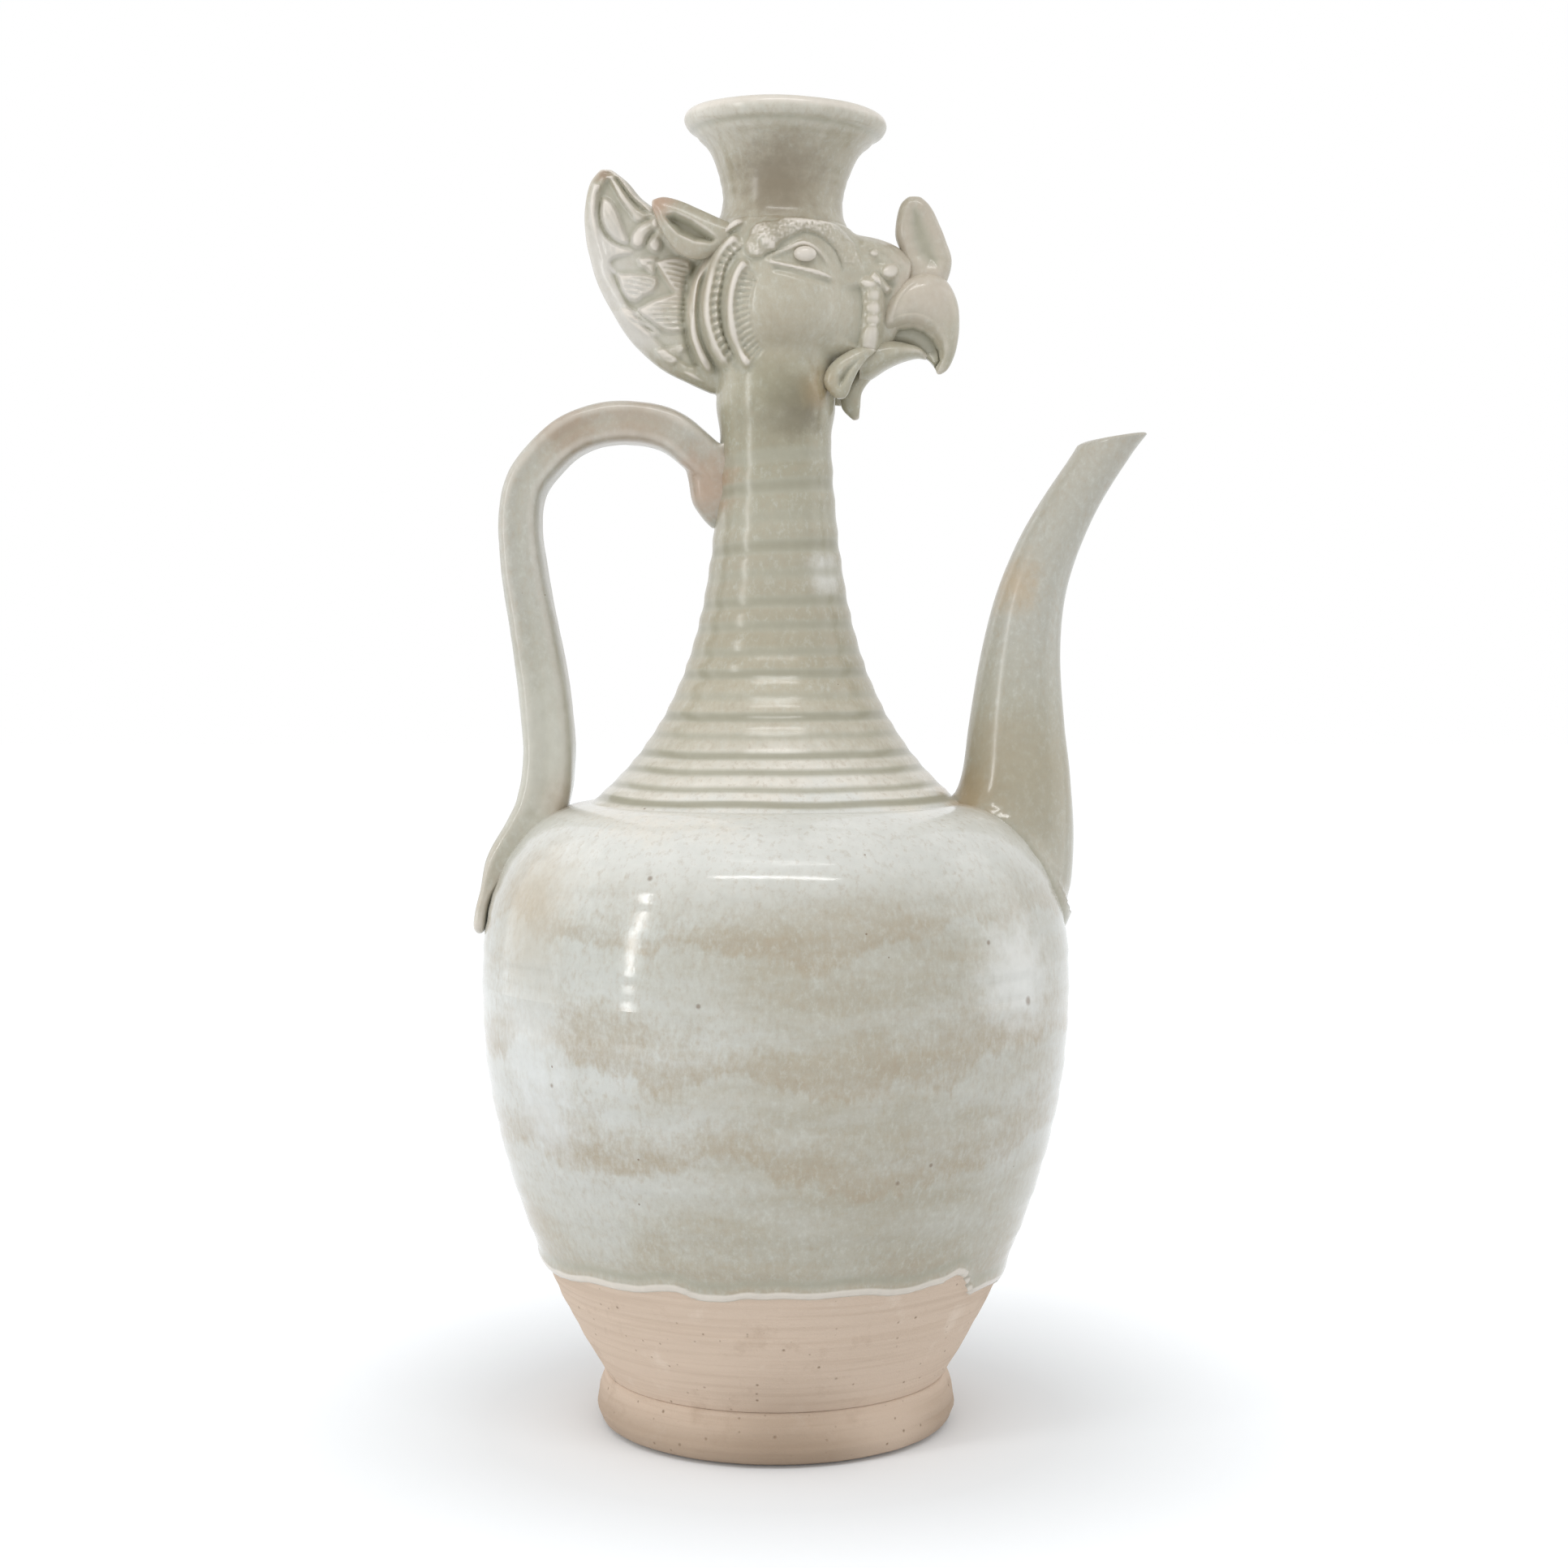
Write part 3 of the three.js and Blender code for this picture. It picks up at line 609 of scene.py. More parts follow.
@dataclass(frozen=True)
class Leaf:
    """A carved feather of the crest, highest at its tip, with strands at its root."""

    DOME_SHARE = 0.25
    DOME_REACH = 3.5
    TIP_FALL = 0.35

    outline: tuple[Place, ...]
    lie: float
    lift: float = 2.3
    strand_pitch: float = 1.5
    strand_depth: float = 0.6
    spread: float = 0.8

    def relief(self, x: Array, z: Array) -> Array:
        """How far the feather stands out at each place, in mm.

        Args:
            x: places along the side view.
            z: heights.

        Returns:
            One number for each place.
        """
        rounded = SmoothLine([*self.outline, self.outline[0]]).spread(3 * len(self.outline))[:-1]
        depth = depth_inside(rounded, x, z)
        along_x, along_z = math.cos(math.radians(self.lie)), math.sin(math.radians(self.lie))
        across = z * along_x - x * along_z
        along = x * along_x + z * along_z
        corners = [cx * along_x + cz * along_z for cx, cz in self.outline]
        rooted = (along - min(corners)) / (max(corners) - min(corners))
        strands = 0.5 - 0.5 * np.cos(2 * math.pi * across / self.strand_pitch)
        domed = (1 - self.DOME_SHARE) * smoothstep(-self.spread, self.spread, depth)
        domed += self.DOME_SHARE * smoothstep(0.0, self.DOME_REACH, depth)
        body = self.lift * (1 - self.TIP_FALL * smoothstep(0.3, 1.0, rooted)) * domed
        combed = self.strand_depth * strands * smoothstep(0.5, 1.3, depth)
        return body - combed * smoothstep(0.05, 0.4, rooted)


@dataclass(frozen=True)
class Hollow:
    """A hollow with a closed outline, cut to one depth."""

    outline: tuple[Place, ...]
    depth: float
    slope: float = 1.6

    def relief(self, x: Array, z: Array) -> Array:
        """How far the hollow lies below the skin at each place, in mm, as a number below 0."""
        return -self.depth * smoothstep(0.0, self.slope, depth_inside(self.outline, x, z))


@dataclass(frozen=True)
class Plumage:
    """Feathers that lie over one another in a sunken field."""

    field: Hollow
    leaves: tuple[Leaf, ...]

    def relief(self, x: Array, z: Array) -> Array:
        """How far the plumage stands out at each place, in mm."""
        return self.field.relief(x, z) + np.max([leaf.relief(x, z) for leaf in self.leaves], axis=0)


def linear(hex_colour: str) -> tuple[float, float, float, float]:
    """Turn an sRGB hex colour into linear RGBA.

    Args:
        hex_colour: six hex digits, such as "c9cbc6".

    Returns:
        The colour as four linear numbers, with alpha 1.
    """
    channels = [int(hex_colour[i:i + 2], 16) / 255 for i in (0, 2, 4)]
    flat = [c / 12.92 if c <= 0.04045 else ((c + 0.055) / 1.055) ** 2.4 for c in channels]
    return (flat[0], flat[1], flat[2], 1.0)


def add_node(tree: Tree, kind: str, values: dict | None = None, links: dict | None = None,
             stops: Sequence[tuple[float, str]] = (), **settings: object) -> bpy.types.Node:
    """Add one node with its settings and links.

    Args:
        tree: the node tree.
        kind: the node's type, without its ShaderNode prefix.
        values: constants by input name or number.
        links: what feeds inputs, by input name or number: a socket, or a node for its first output.
        stops: a ramp's places and sRGB hex colours.
        settings: the node's own settings.

    Returns:
        The node.
    """
    node = tree.nodes.new("ShaderNode" + kind)
    for name, value in settings.items():
        setattr(node, name, value)
    for name, value in (values or {}).items():
        node.inputs[name].default_value = value
    for name, source in (links or {}).items():
        socket = source.outputs[0] if isinstance(source, bpy.types.Node) else source
        tree.links.new(socket, node.inputs[name])
    if stops:
        elements = node.color_ramp.elements
        elements.remove(elements[1])
        elements[0].position, elements[0].color = stops[0][0], linear(stops[0][1])
        for place, colour in stops[1:]:
            elements.new(place).color = linear(colour)
    return node


@dataclass(frozen=True)
class Coat:
    """What a finish gives its shader: sockets for colour, roughness and the height of its surface."""

    colour: Socket
    roughness: Socket
    height: Socket


@dataclass(frozen=True)
class Tint:
    """A soft patch of another colour in the glaze, round one place in mm."""

    place: tuple[float, float, float]
    reach: float
    colour: str
    strength: float


@dataclass(frozen=True)
class Band:
    """A beige band where the glaze ran thin: sharp and dripping below, fading upwards."""

    lower_edge: float
    fade: float


LUTED_TONES = (
    (0, "a9a28e"), (160, "b0ac9c"), (188, "aca692"), (212, "b0ad9e"), (240, "b5b3a8"), (268, "b4b1a5"),
    (290, "b5b0a3"), (380, "b5b0a3"))


@dataclass(frozen=True)
class CeladonGlaze:
    """Bluish-white feldspathic glaze, fired glossy over pale stoneware.

    It is thin and warm on ridges, thick and greenish in hollows, where painted shade darkens it
    further, clouded with beige bands where the pot passed the fire, darker over the front and
    right under a painted shade veil, and it holds a few brown specks of iron.
    """

    tones: tuple[tuple[float, str], ...] = (
        (0, "b3ac9c"), (46, "b3ae9e"), (60, "bab6a8"), (72, "c3c2b9"), (90, "cacac4"), (128, "cccdc7"),
        (150, "c3c4bc"), (166, "d0d0c9"), (180, "dcdcd6"), (187, "e2ddd2"), (202, "c1bbaa"),
        (214, "b8b19d"), (228, "aaa38e"), (244, "aba592"), (262, "aea996"), (282, "a39e89"),
        (298, "aba691"), (322, "bab4a2"), (350, "b0aa98"), (365, "aea794"), (373, "c8c3b5"),
        (380, "d3cec2"),
    )
    height_range: float = 380.0
    body_top: float = 180.0
    bands: tuple[Band, ...] = (Band(50, 20), Band(88, 16), Band(112, 20), Band(148, 20))
    cloud: str = "ada18c"
    # Colour of the painted shade veil over the front and right of the body.
    front_shade_veil: str = "b3ae9e"
    # Tones and depth of the darkening in hollows: pooled glaze and painted shade.
    pool_and_shade_tones: tuple[tuple[float, str], ...] = ((0.0, "b4b3a3"), (0.35, "a5a290"), (0.85, "89846e"))
    pool_and_shade_depth: float = 1.8
    ridge: str = "dfd7cc"
    warm: str = "ab9c86"
    cool: str = "d0d3cb"
    iron: str = "6f563c"
    roughness: float = 0.1
    thin_roughness: float = 0.1
    ior: float = 1.5
    band_share: float = 0.7
    band_blur: float = 1.2
    speck_share: float = 0.62
    peel_height: float = 0.022
    throwing_pitch: float = 3.4
    throwing_height: float = 0.06
    tints: tuple[Tint, ...] = (
        Tint((-0.5, -20, 356.5), 11, "5f5540", 0.95), Tint((2, -19, 356), 20, "8f8470", 0.75),
        Tint((6.0, -16, 294), 11, "6a604b", 0.88), Tint((11.5, -13, 299), 7, "a58a5e", 0.5),
        Tint((0, -17, 302), 13, "918d73", 0.5), Tint((14.6, -13.5, 247), 8, "dcdbd5", 0.8),
        Tint((2, -22, 312), 13, "a3977f", 0.5), Tint((53, -10, 182), 14, "b3925f", 0.45),
        Tint((61, -12, 196), 14, "aa9d85", 0.4), Tint((66, -10, 245), 12, "bda27d", 0.5),
        Tint((-61.5, -8, 183), 9, "9d7a50", 0.7), Tint((-60, -9, 289), 12, "9c836a", 0.6),
        Tint((-40, -9, 288), 15, "a8927c", 0.5), Tint((-21, -9, 272), 13, "b08d72", 0.6),
        # The near-white patch at (66.5, -53, 137) is painted light of the body's right flank, over the
        # glaze's own bluish-white.
        Tint((-66, -45, 156), 22, "b5a68c", 0.5), Tint((66.5, -53, 137), 20, "d9d9d4", 0.9),
        Tint((72, -18, 190), 24, "a59c86", 0.5), Tint((-68, -8, 196), 34, "c6c5ba", 0.75),
        Tint((-49.7, -2, 361.8), 3.5, "8a6a52", 0.6), Tint((-33.6, -14, 351.5), 7, "b28f78", 0.7),
        Tint((41.7, -4, 345), 15, "c4b8ab", 0.5), Tint((43, -8, 326), 15, "c8bcae", 0.6),
        Tint((-50.6, -4, 338), 20, "d6d2cc", 0.7), Tint((-43, -5, 318), 18, "d6d2cc", 0.7),
        # The near-white patches at (-64, -51, 118) and (-60, -52, 100) are painted light of the lamp-lit
        # left flank, over the glaze's own bluish-white.
        Tint((-27, -12, 330), 13, "bcae9b", 0.5), Tint((-64, -51, 118), 20, "dcdedb", 0.6),
        Tint((-64, -54, 138), 17, "b7b4a8", 0.55), Tint((-60, -52, 100), 17, "d9dbd9", 0.65),
        Tint((0, -17, 290), 15, "8f8973", 0.55),
    )
    iron_spots: tuple[tuple[float, float, float], ...] = (
        (-45.7, 107.6, 0.9), (54.0, 129.4, 1.6), (-25.0, 164.6, 1.0), (43.0, 146.6, 0.9),
        (-13.5, 132.3, 0.9), (31.0, 88.0, 0.8), (24.0, 84.0, 0.9),
    )
    wander: tuple[tuple[tuple[float, float, float], float, float], ...] = (
        ((60, 60, 90), 2.0, 20.0), ((17, 17, 40), 3.0, 7.0), ((3.0, 3.0, 22), 3.0, 5.0),
    )

    def coat(self, add: Adder, where: Socket, vessel: "Vessel") -> Coat:
        """Build the glaze.

        Args:
            add: adds one node.
            where: places in mm.
            vessel: the shape that the iron spots lie on.

        Returns:
            The sockets that the shader takes.
        """
        height = self._wandering_height(add, where)
        share = add("Math", {1: self.height_range}, {0: height}, operation="DIVIDE")
        stops = [(z / self.height_range, colour) for z, colour in self.tones]
        tone = add("ValToRGB", links={0: share}, stops=stops)
        clouded = self._clouds(add, where, height, tone.outputs[0])
        tinted = self._tints(add, where, self._mottle(add, where, clouded))
        pooled_and_shaded = self._pools_and_shade(add, tinted)
        colour = self._specks(add, where, pooled_and_shaded, vessel)
        gloss = add("TexNoise", {"Scale": 1 / 6, "Detail": 3.0}, {"Vector": where})
        dulled = add(
            "MapRange", {"To Min": self.roughness - 0.03, "To Max": self.roughness + 0.09},
            {"Value": gloss})
        split = add("SeparateXYZ", links={0: where})
        thin = add(
            "MapRange", {"From Min": 180.0, "From Max": 200.0, "To Max": self.thin_roughness},
            {"Value": split.outputs[2]})
        rough = add("Math", links={0: dulled, 1: thin}, operation="ADD")
        return Coat(colour, rough.outputs[0], self._skin_height(add, where))

    @staticmethod
    def _noise(add: Adder, where: Socket, grain: tuple[float, float, float], detail: float,
               roughness: float = 0.5) -> Socket:
        """Noise with lumps of a real size.

        Args:
            add: adds one node.
            where: places in mm.
            grain: size of a lump along x, y and z, in mm.
            detail: octaves of finer noise.
            roughness: how strong the finer noise is.

        Returns:
            A number between 0 and 1.
        """
        scaled = add("Mapping", {"Scale": tuple(1 / size for size in grain)}, {"Vector": where})
        texture = add(
            "TexNoise", {"Scale": 1.0, "Detail": detail, "Roughness": roughness}, {"Vector": scaled})
        return texture.outputs[0]

    def _wandering_height(self, add: Adder, where: Socket) -> Socket:
        """Shift heights by slow clouds and by drips, so that no band is a ruled ring.

        Args:
            add: adds one node.
            where: places in mm.

        Returns:
            The shifted height in mm.
        """
        split = add("SeparateXYZ", links={0: where})
        total = split.outputs[2]
        for grain, detail, reach in self.wander:
            noise_here = self._noise(add, where, grain, detail)
            shift = add("MapRange", {"To Min": -reach, "To Max": reach}, {"Value": noise_here})
            total = add("Math", links={0: total, 1: shift}, operation="ADD").outputs[0]
        return total

    def _clouds(self, add: Adder, where: Socket, height: Socket, colour: Socket) -> Socket:
        """A darker, warmer veil over the front and right, thinner at the far right and least on the left:
        painted shade of the side turned from the lamps; and beige bands with dripping lower edges.

        Args:
            add: adds one node.
            where: places in mm.
            height: the shifted height in mm.
            colour: the glaze beneath.

        Returns:
            The clouded colour.
        """
        split = add("SeparateXYZ", links={0: where})
        below = add("MapRange", {"From Min": 168.0, "From Max": 150.0}, {"Value": split.outputs[2]})
        # Painted shade: the veil grows from the lamp-lit left towards the front and right.
        side = add(
            "MapRange", {"From Min": -58.0, "From Max": 6.0, "To Min": 0.05, "To Max": 0.85},
            {"Value": split}, interpolation_type="SMOOTHSTEP")
        drift = self._noise(add, where, (38, 38, 12), 4.0, 0.6)
        drifting = add(
            "MapRange", {"From Min": 0.3, "From Max": 0.7, "To Min": -0.4, "To Max": 0.4}, {"Value": drift})
        # Painted light: the veil thins again towards the far right edge.
        far = add("MapRange", {"From Min": 36.0, "From Max": 74.0, "To Max": -0.4}, {"Value": split})
        sides = add("Math", links={0: side, 1: far}, operation="ADD")
        front_shade_veil = add("Math", links={0: sides, 1: drifting}, operation="ADD")
        kept = add("Math", links={0: front_shade_veil, 1: below}, operation="MULTIPLY", use_clamp=True)
        front_shaded = add("Mix", {7: linear(self.front_shade_veil)}, {0: kept, 6: colour}, data_type="RGBA")
        share = add("Math", {1: self.body_top}, {0: height}, operation="DIVIDE")
        stops = [(0.0, "000000")]
        for band in self.bands:
            stops += [((band.lower_edge - self.band_blur) / self.body_top, "000000")]
            stops += [((band.lower_edge + self.band_blur) / self.body_top, "ffffff")]
            stops += [((band.lower_edge + band.fade * 0.45) / self.body_top, "d0d0d0")]
            stops += [((band.lower_edge + band.fade) / self.body_top, "000000")]
        banded = add("ValToRGB", links={0: share}, stops=stops)
        speckle = self._noise(add, where, (1.2, 1.2, 2.2), 3.0, 0.7)
        speckled = add(
            "MapRange", {"From Min": 0.25, "From Max": 0.75, "To Min": -0.4, "To Max": 0.26},
            {"Value": speckle})
        total = add("Math", {1: self.band_share}, {0: banded}, operation="MULTIPLY").outputs[0]
        for part in (drifting, speckled):
            total = add("Math", links={0: total, 1: part}, operation="ADD").outputs[0]
        amount = add("Math", links={0: total, 1: below}, operation="MULTIPLY", use_clamp=True)
        beige = add("Mix", {7: linear(self.cloud)}, {0: amount, 6: front_shaded.outputs[2]}, data_type="RGBA")
        return beige.outputs[2]

    def _mottle(self, add: Adder, where: Socket, colour: Socket) -> Socket:
        """Fine warm and cool mottling all over, from unevenly melted glaze.

        Args:
            add: adds one node.
            where: places in mm.
            colour: the glaze beneath.

        Returns:
            The mottled colour.
        """
        grain = self._noise(add, where, (1.7, 1.7, 2.6), 4.0, 0.7)
        for tone, low, high, most in ((self.warm, 0.52, 0.72, 0.42), (self.cool, 0.48, 0.28, 0.36)):
            share = add("MapRange", {"From Min": low, "From Max": high, "To Max": most}, {"Value": grain})
            mixed = add("Mix", {7: linear(tone)}, {0: share, 6: colour}, data_type="RGBA")
            colour = mixed.outputs[2]
        return colour

    def _tints(self, add: Adder, where: Socket, colour: Socket) -> Socket:
        """Patches of other colours round given places: brown and orange ones where smoke, ash or iron
        caught the pot, and near-white ones on the body's flanks, painted light of the lit sides over the
        glaze's own bluish-white.

        Args:
            add: adds one node.
            where: places in mm.
            colour: the glaze beneath.

        Returns:
            The patched colour.
        """
        rough = add("TexNoise", {"Scale": 1 / 5, "Detail": 4.0, "Roughness": 0.65}, {"Vector": where})
        frayed = add("MapRange", {"To Min": -0.65, "To Max": 0.65}, {"Value": rough})
        for tint in self.tints:
            away = add("VectorMath", {1: tint.place}, {0: where}, operation="DISTANCE")
            near = add(
                "MapRange", {"From Min": tint.reach * 1.25, "From Max": 0.0, "To Max": 1.5},
                {"Value": away.outputs["Value"]})
            edge = add("Math", links={0: near, 1: frayed}, operation="ADD")
            share = add("MapRange", {"From Min": 0.1, "From Max": 1.3, "To Max": tint.strength},
                        {"Value": edge}, interpolation_type="SMOOTHSTEP")
            inside = add("Math", {1: 0.0}, {0: near}, operation="GREATER_THAN")
            kept = add("Math", links={0: share, 1: inside}, operation="MULTIPLY")
            mixed = add("Mix", {7: linear(tint.colour)}, {0: kept, 6: colour}, data_type="RGBA")
            colour = mixed.outputs[2]
        return colour

    def _pools_and_shade(self, add: Adder, colour: Socket) -> Socket:
        """Greenish and darker in hollows, partly glaze that ran thick there and partly painted shade; warm
        where it is thin on ridges.

        Args:
            add: adds one node.
            colour: the glaze beneath.

        Returns:
            The pooled colour.
        """
        pool_and_shade = add("Attribute", attribute_name="pool_and_shade")
        share = add(
            "Math", {1: self.pool_and_shade_depth}, {0: pool_and_shade.outputs["Fac"]}, operation="DIVIDE", use_clamp=True)
        green = add("ValToRGB", links={0: share}, stops=self.pool_and_shade_tones)
        # Painted shade, together with pooled glaze: hollows darken towards the greenish tones.
        deep = add("MapRange", {"From Min": 0.04, "From Max": 0.75, "To Max": 0.9},
                   {"Value": pool_and_shade.outputs["Fac"]}, interpolation_type="SMOOTHSTEP")
        pooled_and_shaded = add("Mix", links={0: deep, 6: colour, 7: green}, data_type="RGBA")
        high = add("MapRange", {"From Min": -0.06, "From Max": -0.6, "To Max": 0.9},
                   {"Value": pool_and_shade.outputs["Fac"]}, interpolation_type="SMOOTHSTEP")
        warm = add("Mix", {7: linear(self.ridge)}, {0: high, 6: pooled_and_shaded.outputs[2]}, data_type="RGBA")
        return warm.outputs[2]

    def _specks(self, add: Adder, where: Socket, colour: Socket, vessel: "Vessel") -> Socket:
        """Iron specks about half a millimetre across, one cell in nine, and a few larger spots.

        Args:
            add: adds one node.
            where: places in mm.
            colour: the glaze beneath.
            vessel: the shape that the spots lie on.

        Returns:
            The speckled colour.
        """
        cells = add("TexVoronoi", {"Scale": 1 / 6}, {"Vector": where})
        picked = add("SeparateColor", links={0: cells.outputs["Color"]})
        chosen = add("MapRange", {"From Min": 0.86, "From Max": 1.0, "To Max": 0.062}, {"Value": picked})
        size = add("Math", links={0: chosen, 1: cells.outputs["Distance"]}, operation="GREATER_THAN")
        marks = size.outputs[0]
        for azimuth, z, radius in self.iron_spots:
            out, turned = float(vessel.outside(np.array(z))), math.radians(azimuth)
            centre = (out * math.sin(turned), -out * math.cos(turned), z)
            away = add("VectorMath", {1: centre}, {0: where}, operation="DISTANCE")
            spot = add("MapRange", {"From Min": radius, "From Max": radius * 0.4},
                       {"Value": away.outputs["Value"]})
            marks = add("Math", links={0: marks, 1: spot}, operation="MAXIMUM").outputs[0]
        soft = add("Math", {1: self.speck_share}, {0: marks}, operation="MULTIPLY")
        speckled = add("Mix", {7: linear(self.iron)}, {0: soft, 6: colour}, data_type="RGBA")
        fine = add("TexNoise", {"Scale": 1 / 2.6, "Detail": 3.0}, {"Vector": where})
        grain = add("MapRange", {"To Min": 0.93, "To Max": 1.07}, {"Value": fine})
        mottled = add("VectorMath", links={0: speckled.outputs[2], 3: grain}, operation="SCALE")
        return mottled.outputs[0]

    def _skin_height(self, add: Adder, where: Socket) -> Socket:
        """Orange-peel of the glaze over faint throwing lines.

        Args:
            add: adds one node.
            where: places in mm.

        Returns:
            The surface's height in mm.
        """
        peel = add("TexNoise", {"Scale": 1 / 2.2, "Detail": 2.0}, {"Vector": where})
        level = (1 / 90, 1 / 90, 1 / self.throwing_pitch)
        lines = add("Mapping", {"Scale": level}, {"Vector": where})
        thrown = add("TexNoise", {"Scale": 1.0, "Detail": 2.0}, {"Vector": lines})
        first = add("Math", {1: self.peel_height}, {0: peel}, operation="MULTIPLY")
        second = add("Math", {1: self.throwing_height}, {0: thrown}, operation="MULTIPLY")
        return add("Math", links={0: first, 1: second}, operation="ADD").outputs[0]


@dataclass(frozen=True)
class BareClay:
    """Unglazed pale stoneware, fired to a dry pinkish buff and turned on the wheel.

    It shows level throwing lines, pits where grit dragged out, and no gloss; it is darker towards the
    bottom and at the front, and carries painted light on the right of the foot.
    """

    base: str = "d6c2af"
    pale: str = "e0cfbe"
    shade: str = "b39c86"
    # Colour of the pits, and of the clay darker towards the bottom of the foot.
    worn: str = "97826d"
    dark_and_lit_patches: tuple[Tint, ...] = (
        # A darker patch low on the front of the foot, and a pale patch on its right: painted light from the
        # right.
        Tint((2, -52, 7), 30, "8d7864", 0.42), Tint((35, -41, 7), 24, "dfcbb8", 0.5),
    )
    line_pitch: float = 1.6
    line_height: float = 0.17
    grit_height: float = 0.12
    roughness: float = 0.88

    def coat(self, add: Adder, where: Socket) -> Coat:
        """Build the clay.

        Args:
            add: adds one node.
            where: places in mm.

        Returns:
            The sockets that the shader takes.
        """
        level = add("Mapping", {"Scale": (1 / 60, 1 / 60, 1 / self.line_pitch)}, {"Vector": where})
        lines = add("TexNoise", {"Scale": 1.0, "Detail": 3.0, "Roughness": 0.6}, {"Vector": level})
        blotches = add("TexNoise", {"Scale": 1 / 14, "Detail": 5.0, "Roughness": 0.65}, {"Vector": where})
        shares = [(0.1, self.shade), (0.42, self.base), (0.6, self.base), (0.75, self.pale)]
        tone = add("ValToRGB", links={0: blotches}, stops=shares)
        streak = add("MapRange", {"From Min": 0.55, "From Max": 0.35, "To Max": 0.24}, {"Value": lines})
        streaked = add("Mix", {7: linear(self.shade)}, {0: streak, 6: tone}, data_type="RGBA")
        pits = add("TexVoronoi", {"Scale": 1 / 2.4}, {"Vector": where})
        picked = add("SeparateColor", links={0: pits.outputs["Color"]})
        width = add("MapRange", {"From Min": 0.6, "From Max": 1.0, "To Max": 0.26}, {"Value": picked})
        depth = add(
            "Math", links={0: width, 1: pits.outputs["Distance"]}, operation="SUBTRACT", use_clamp=True)
        dark = add("Math", {1: 6.0}, {0: depth}, operation="MULTIPLY", use_clamp=True)
        split = add("SeparateXYZ", links={0: where})
        # Darker towards the bottom of the foot.
        low = add("Math", links={0: split.outputs[2], 1: streak}, operation="SUBTRACT")
        low_share = add("MapRange", {"From Min": 15.0, "From Max": 7.0, "To Max": 0.6}, {"Value": low})
        darker_low = add("Mix", {7: linear(self.worn)}, {0: low_share, 6: streaked.outputs[2]}, data_type="RGBA")
        patched_clay = darker_low.outputs[2]
        # Patches: the pale one on the right of the foot is painted light.
        for foot_patch in self.dark_and_lit_patches:
            away = add("VectorMath", {1: foot_patch.place}, {0: where}, operation="DISTANCE")
            near = add(
                "MapRange", {"From Min": foot_patch.reach, "From Max": 0.0, "To Max": foot_patch.strength},
                {"Value": away.outputs["Value"]}, interpolation_type="SMOOTHSTEP")
            mixed = add("Mix", {7: linear(foot_patch.colour)}, {0: near, 6: patched_clay}, data_type="RGBA")
            patched_clay = mixed.outputs[2]
        pitted = add("Mix", {7: linear(self.worn)}, {0: dark, 6: patched_clay}, data_type="RGBA")
        grit = add("TexNoise", {"Scale": 1 / 0.5, "Detail": 2.0}, {"Vector": where})
        ridged = add("Math", {1: self.line_height}, {0: lines}, operation="MULTIPLY")
        rough = add("Math", {1: self.grit_height}, {0: grit}, operation="MULTIPLY")
        raised = add("Math", links={0: ridged, 1: rough}, operation="ADD")
        sunk = add("Math", links={0: raised, 1: depth}, operation="SUBTRACT")
        dry = add("MapRange", {"To Min": self.roughness - 0.06, "To Max": self.roughness + 0.06},
                  {"Value": blotches})
        return Coat(pitted.outputs[2], dry.outputs[0], sunk.outputs[0])


class Surface(Enum):
    """How a piece was finished."""

    GLAZED = "celadon_glaze"
    LUTED = "celadon_glaze_on_spout_and_handle"
    DIPPED = "glaze_over_clay"
    BARE = "bare_clay"


def make_finish(surface: Surface, vessel: "Vessel") -> Material:
    """Build the material of a piece that is glazed, bare, or dipped so that its lower part is bare.

    Args:
        surface: how the piece was finished.
        vessel: the shape under the glaze.

    Returns:
        The material.
    """
    made = bpy.data.materials.new(surface.value)
    made.use_nodes = True
    tree = made.node_tree
    add = partial(add_node, tree)
    shader = tree.nodes["Principled BSDF"]
    shader.inputs["IOR"].default_value = CeladonGlaze.ior
    origin = add("TexCoord")
    where = add("Mapping", {"Scale": (1 / MM, 1 / MM, 1 / MM)}, {"Vector": origin.outputs["Object"]})
    coats = []
    if surface is not Surface.BARE:
        glaze = CeladonGlaze(tones=LUTED_TONES) if surface is Surface.LUTED else CeladonGlaze()
        coats.append(glaze.coat(add, where.outputs[0], vessel))
    if surface in (Surface.BARE, Surface.DIPPED):
        coats.append(BareClay().coat(add, where.outputs[0]))
    chosen = coats[0]
    if surface is Surface.DIPPED:
        edge = add("Attribute", attribute_name="glaze_edge")
        bare = add("MapRange", {"From Min": 0.12, "From Max": -0.18}, {"Value": edge.outputs["Fac"]})
        share = bare.outputs[0]
        above, below = coats
        colour = add("Mix", links={0: share, 6: above.colour, 7: below.colour}, data_type="RGBA")
        rough = add("Mix", links={0: share, 2: above.roughness, 3: below.roughness})
        height = add("Mix", links={0: share, 2: above.height, 3: below.height})
        chosen = Coat(colour.outputs[2], rough.outputs[0], height.outputs[0])
    relief = add("Bump", {"Strength": 1.0, "Distance": MM}, {"Height": chosen.height})
    tree.links.new(chosen.colour, shader.inputs["Base Color"])
    tree.links.new(chosen.roughness, shader.inputs["Roughness"])
    tree.links.new(relief.outputs[0], shader.inputs["Normal"])
    return made


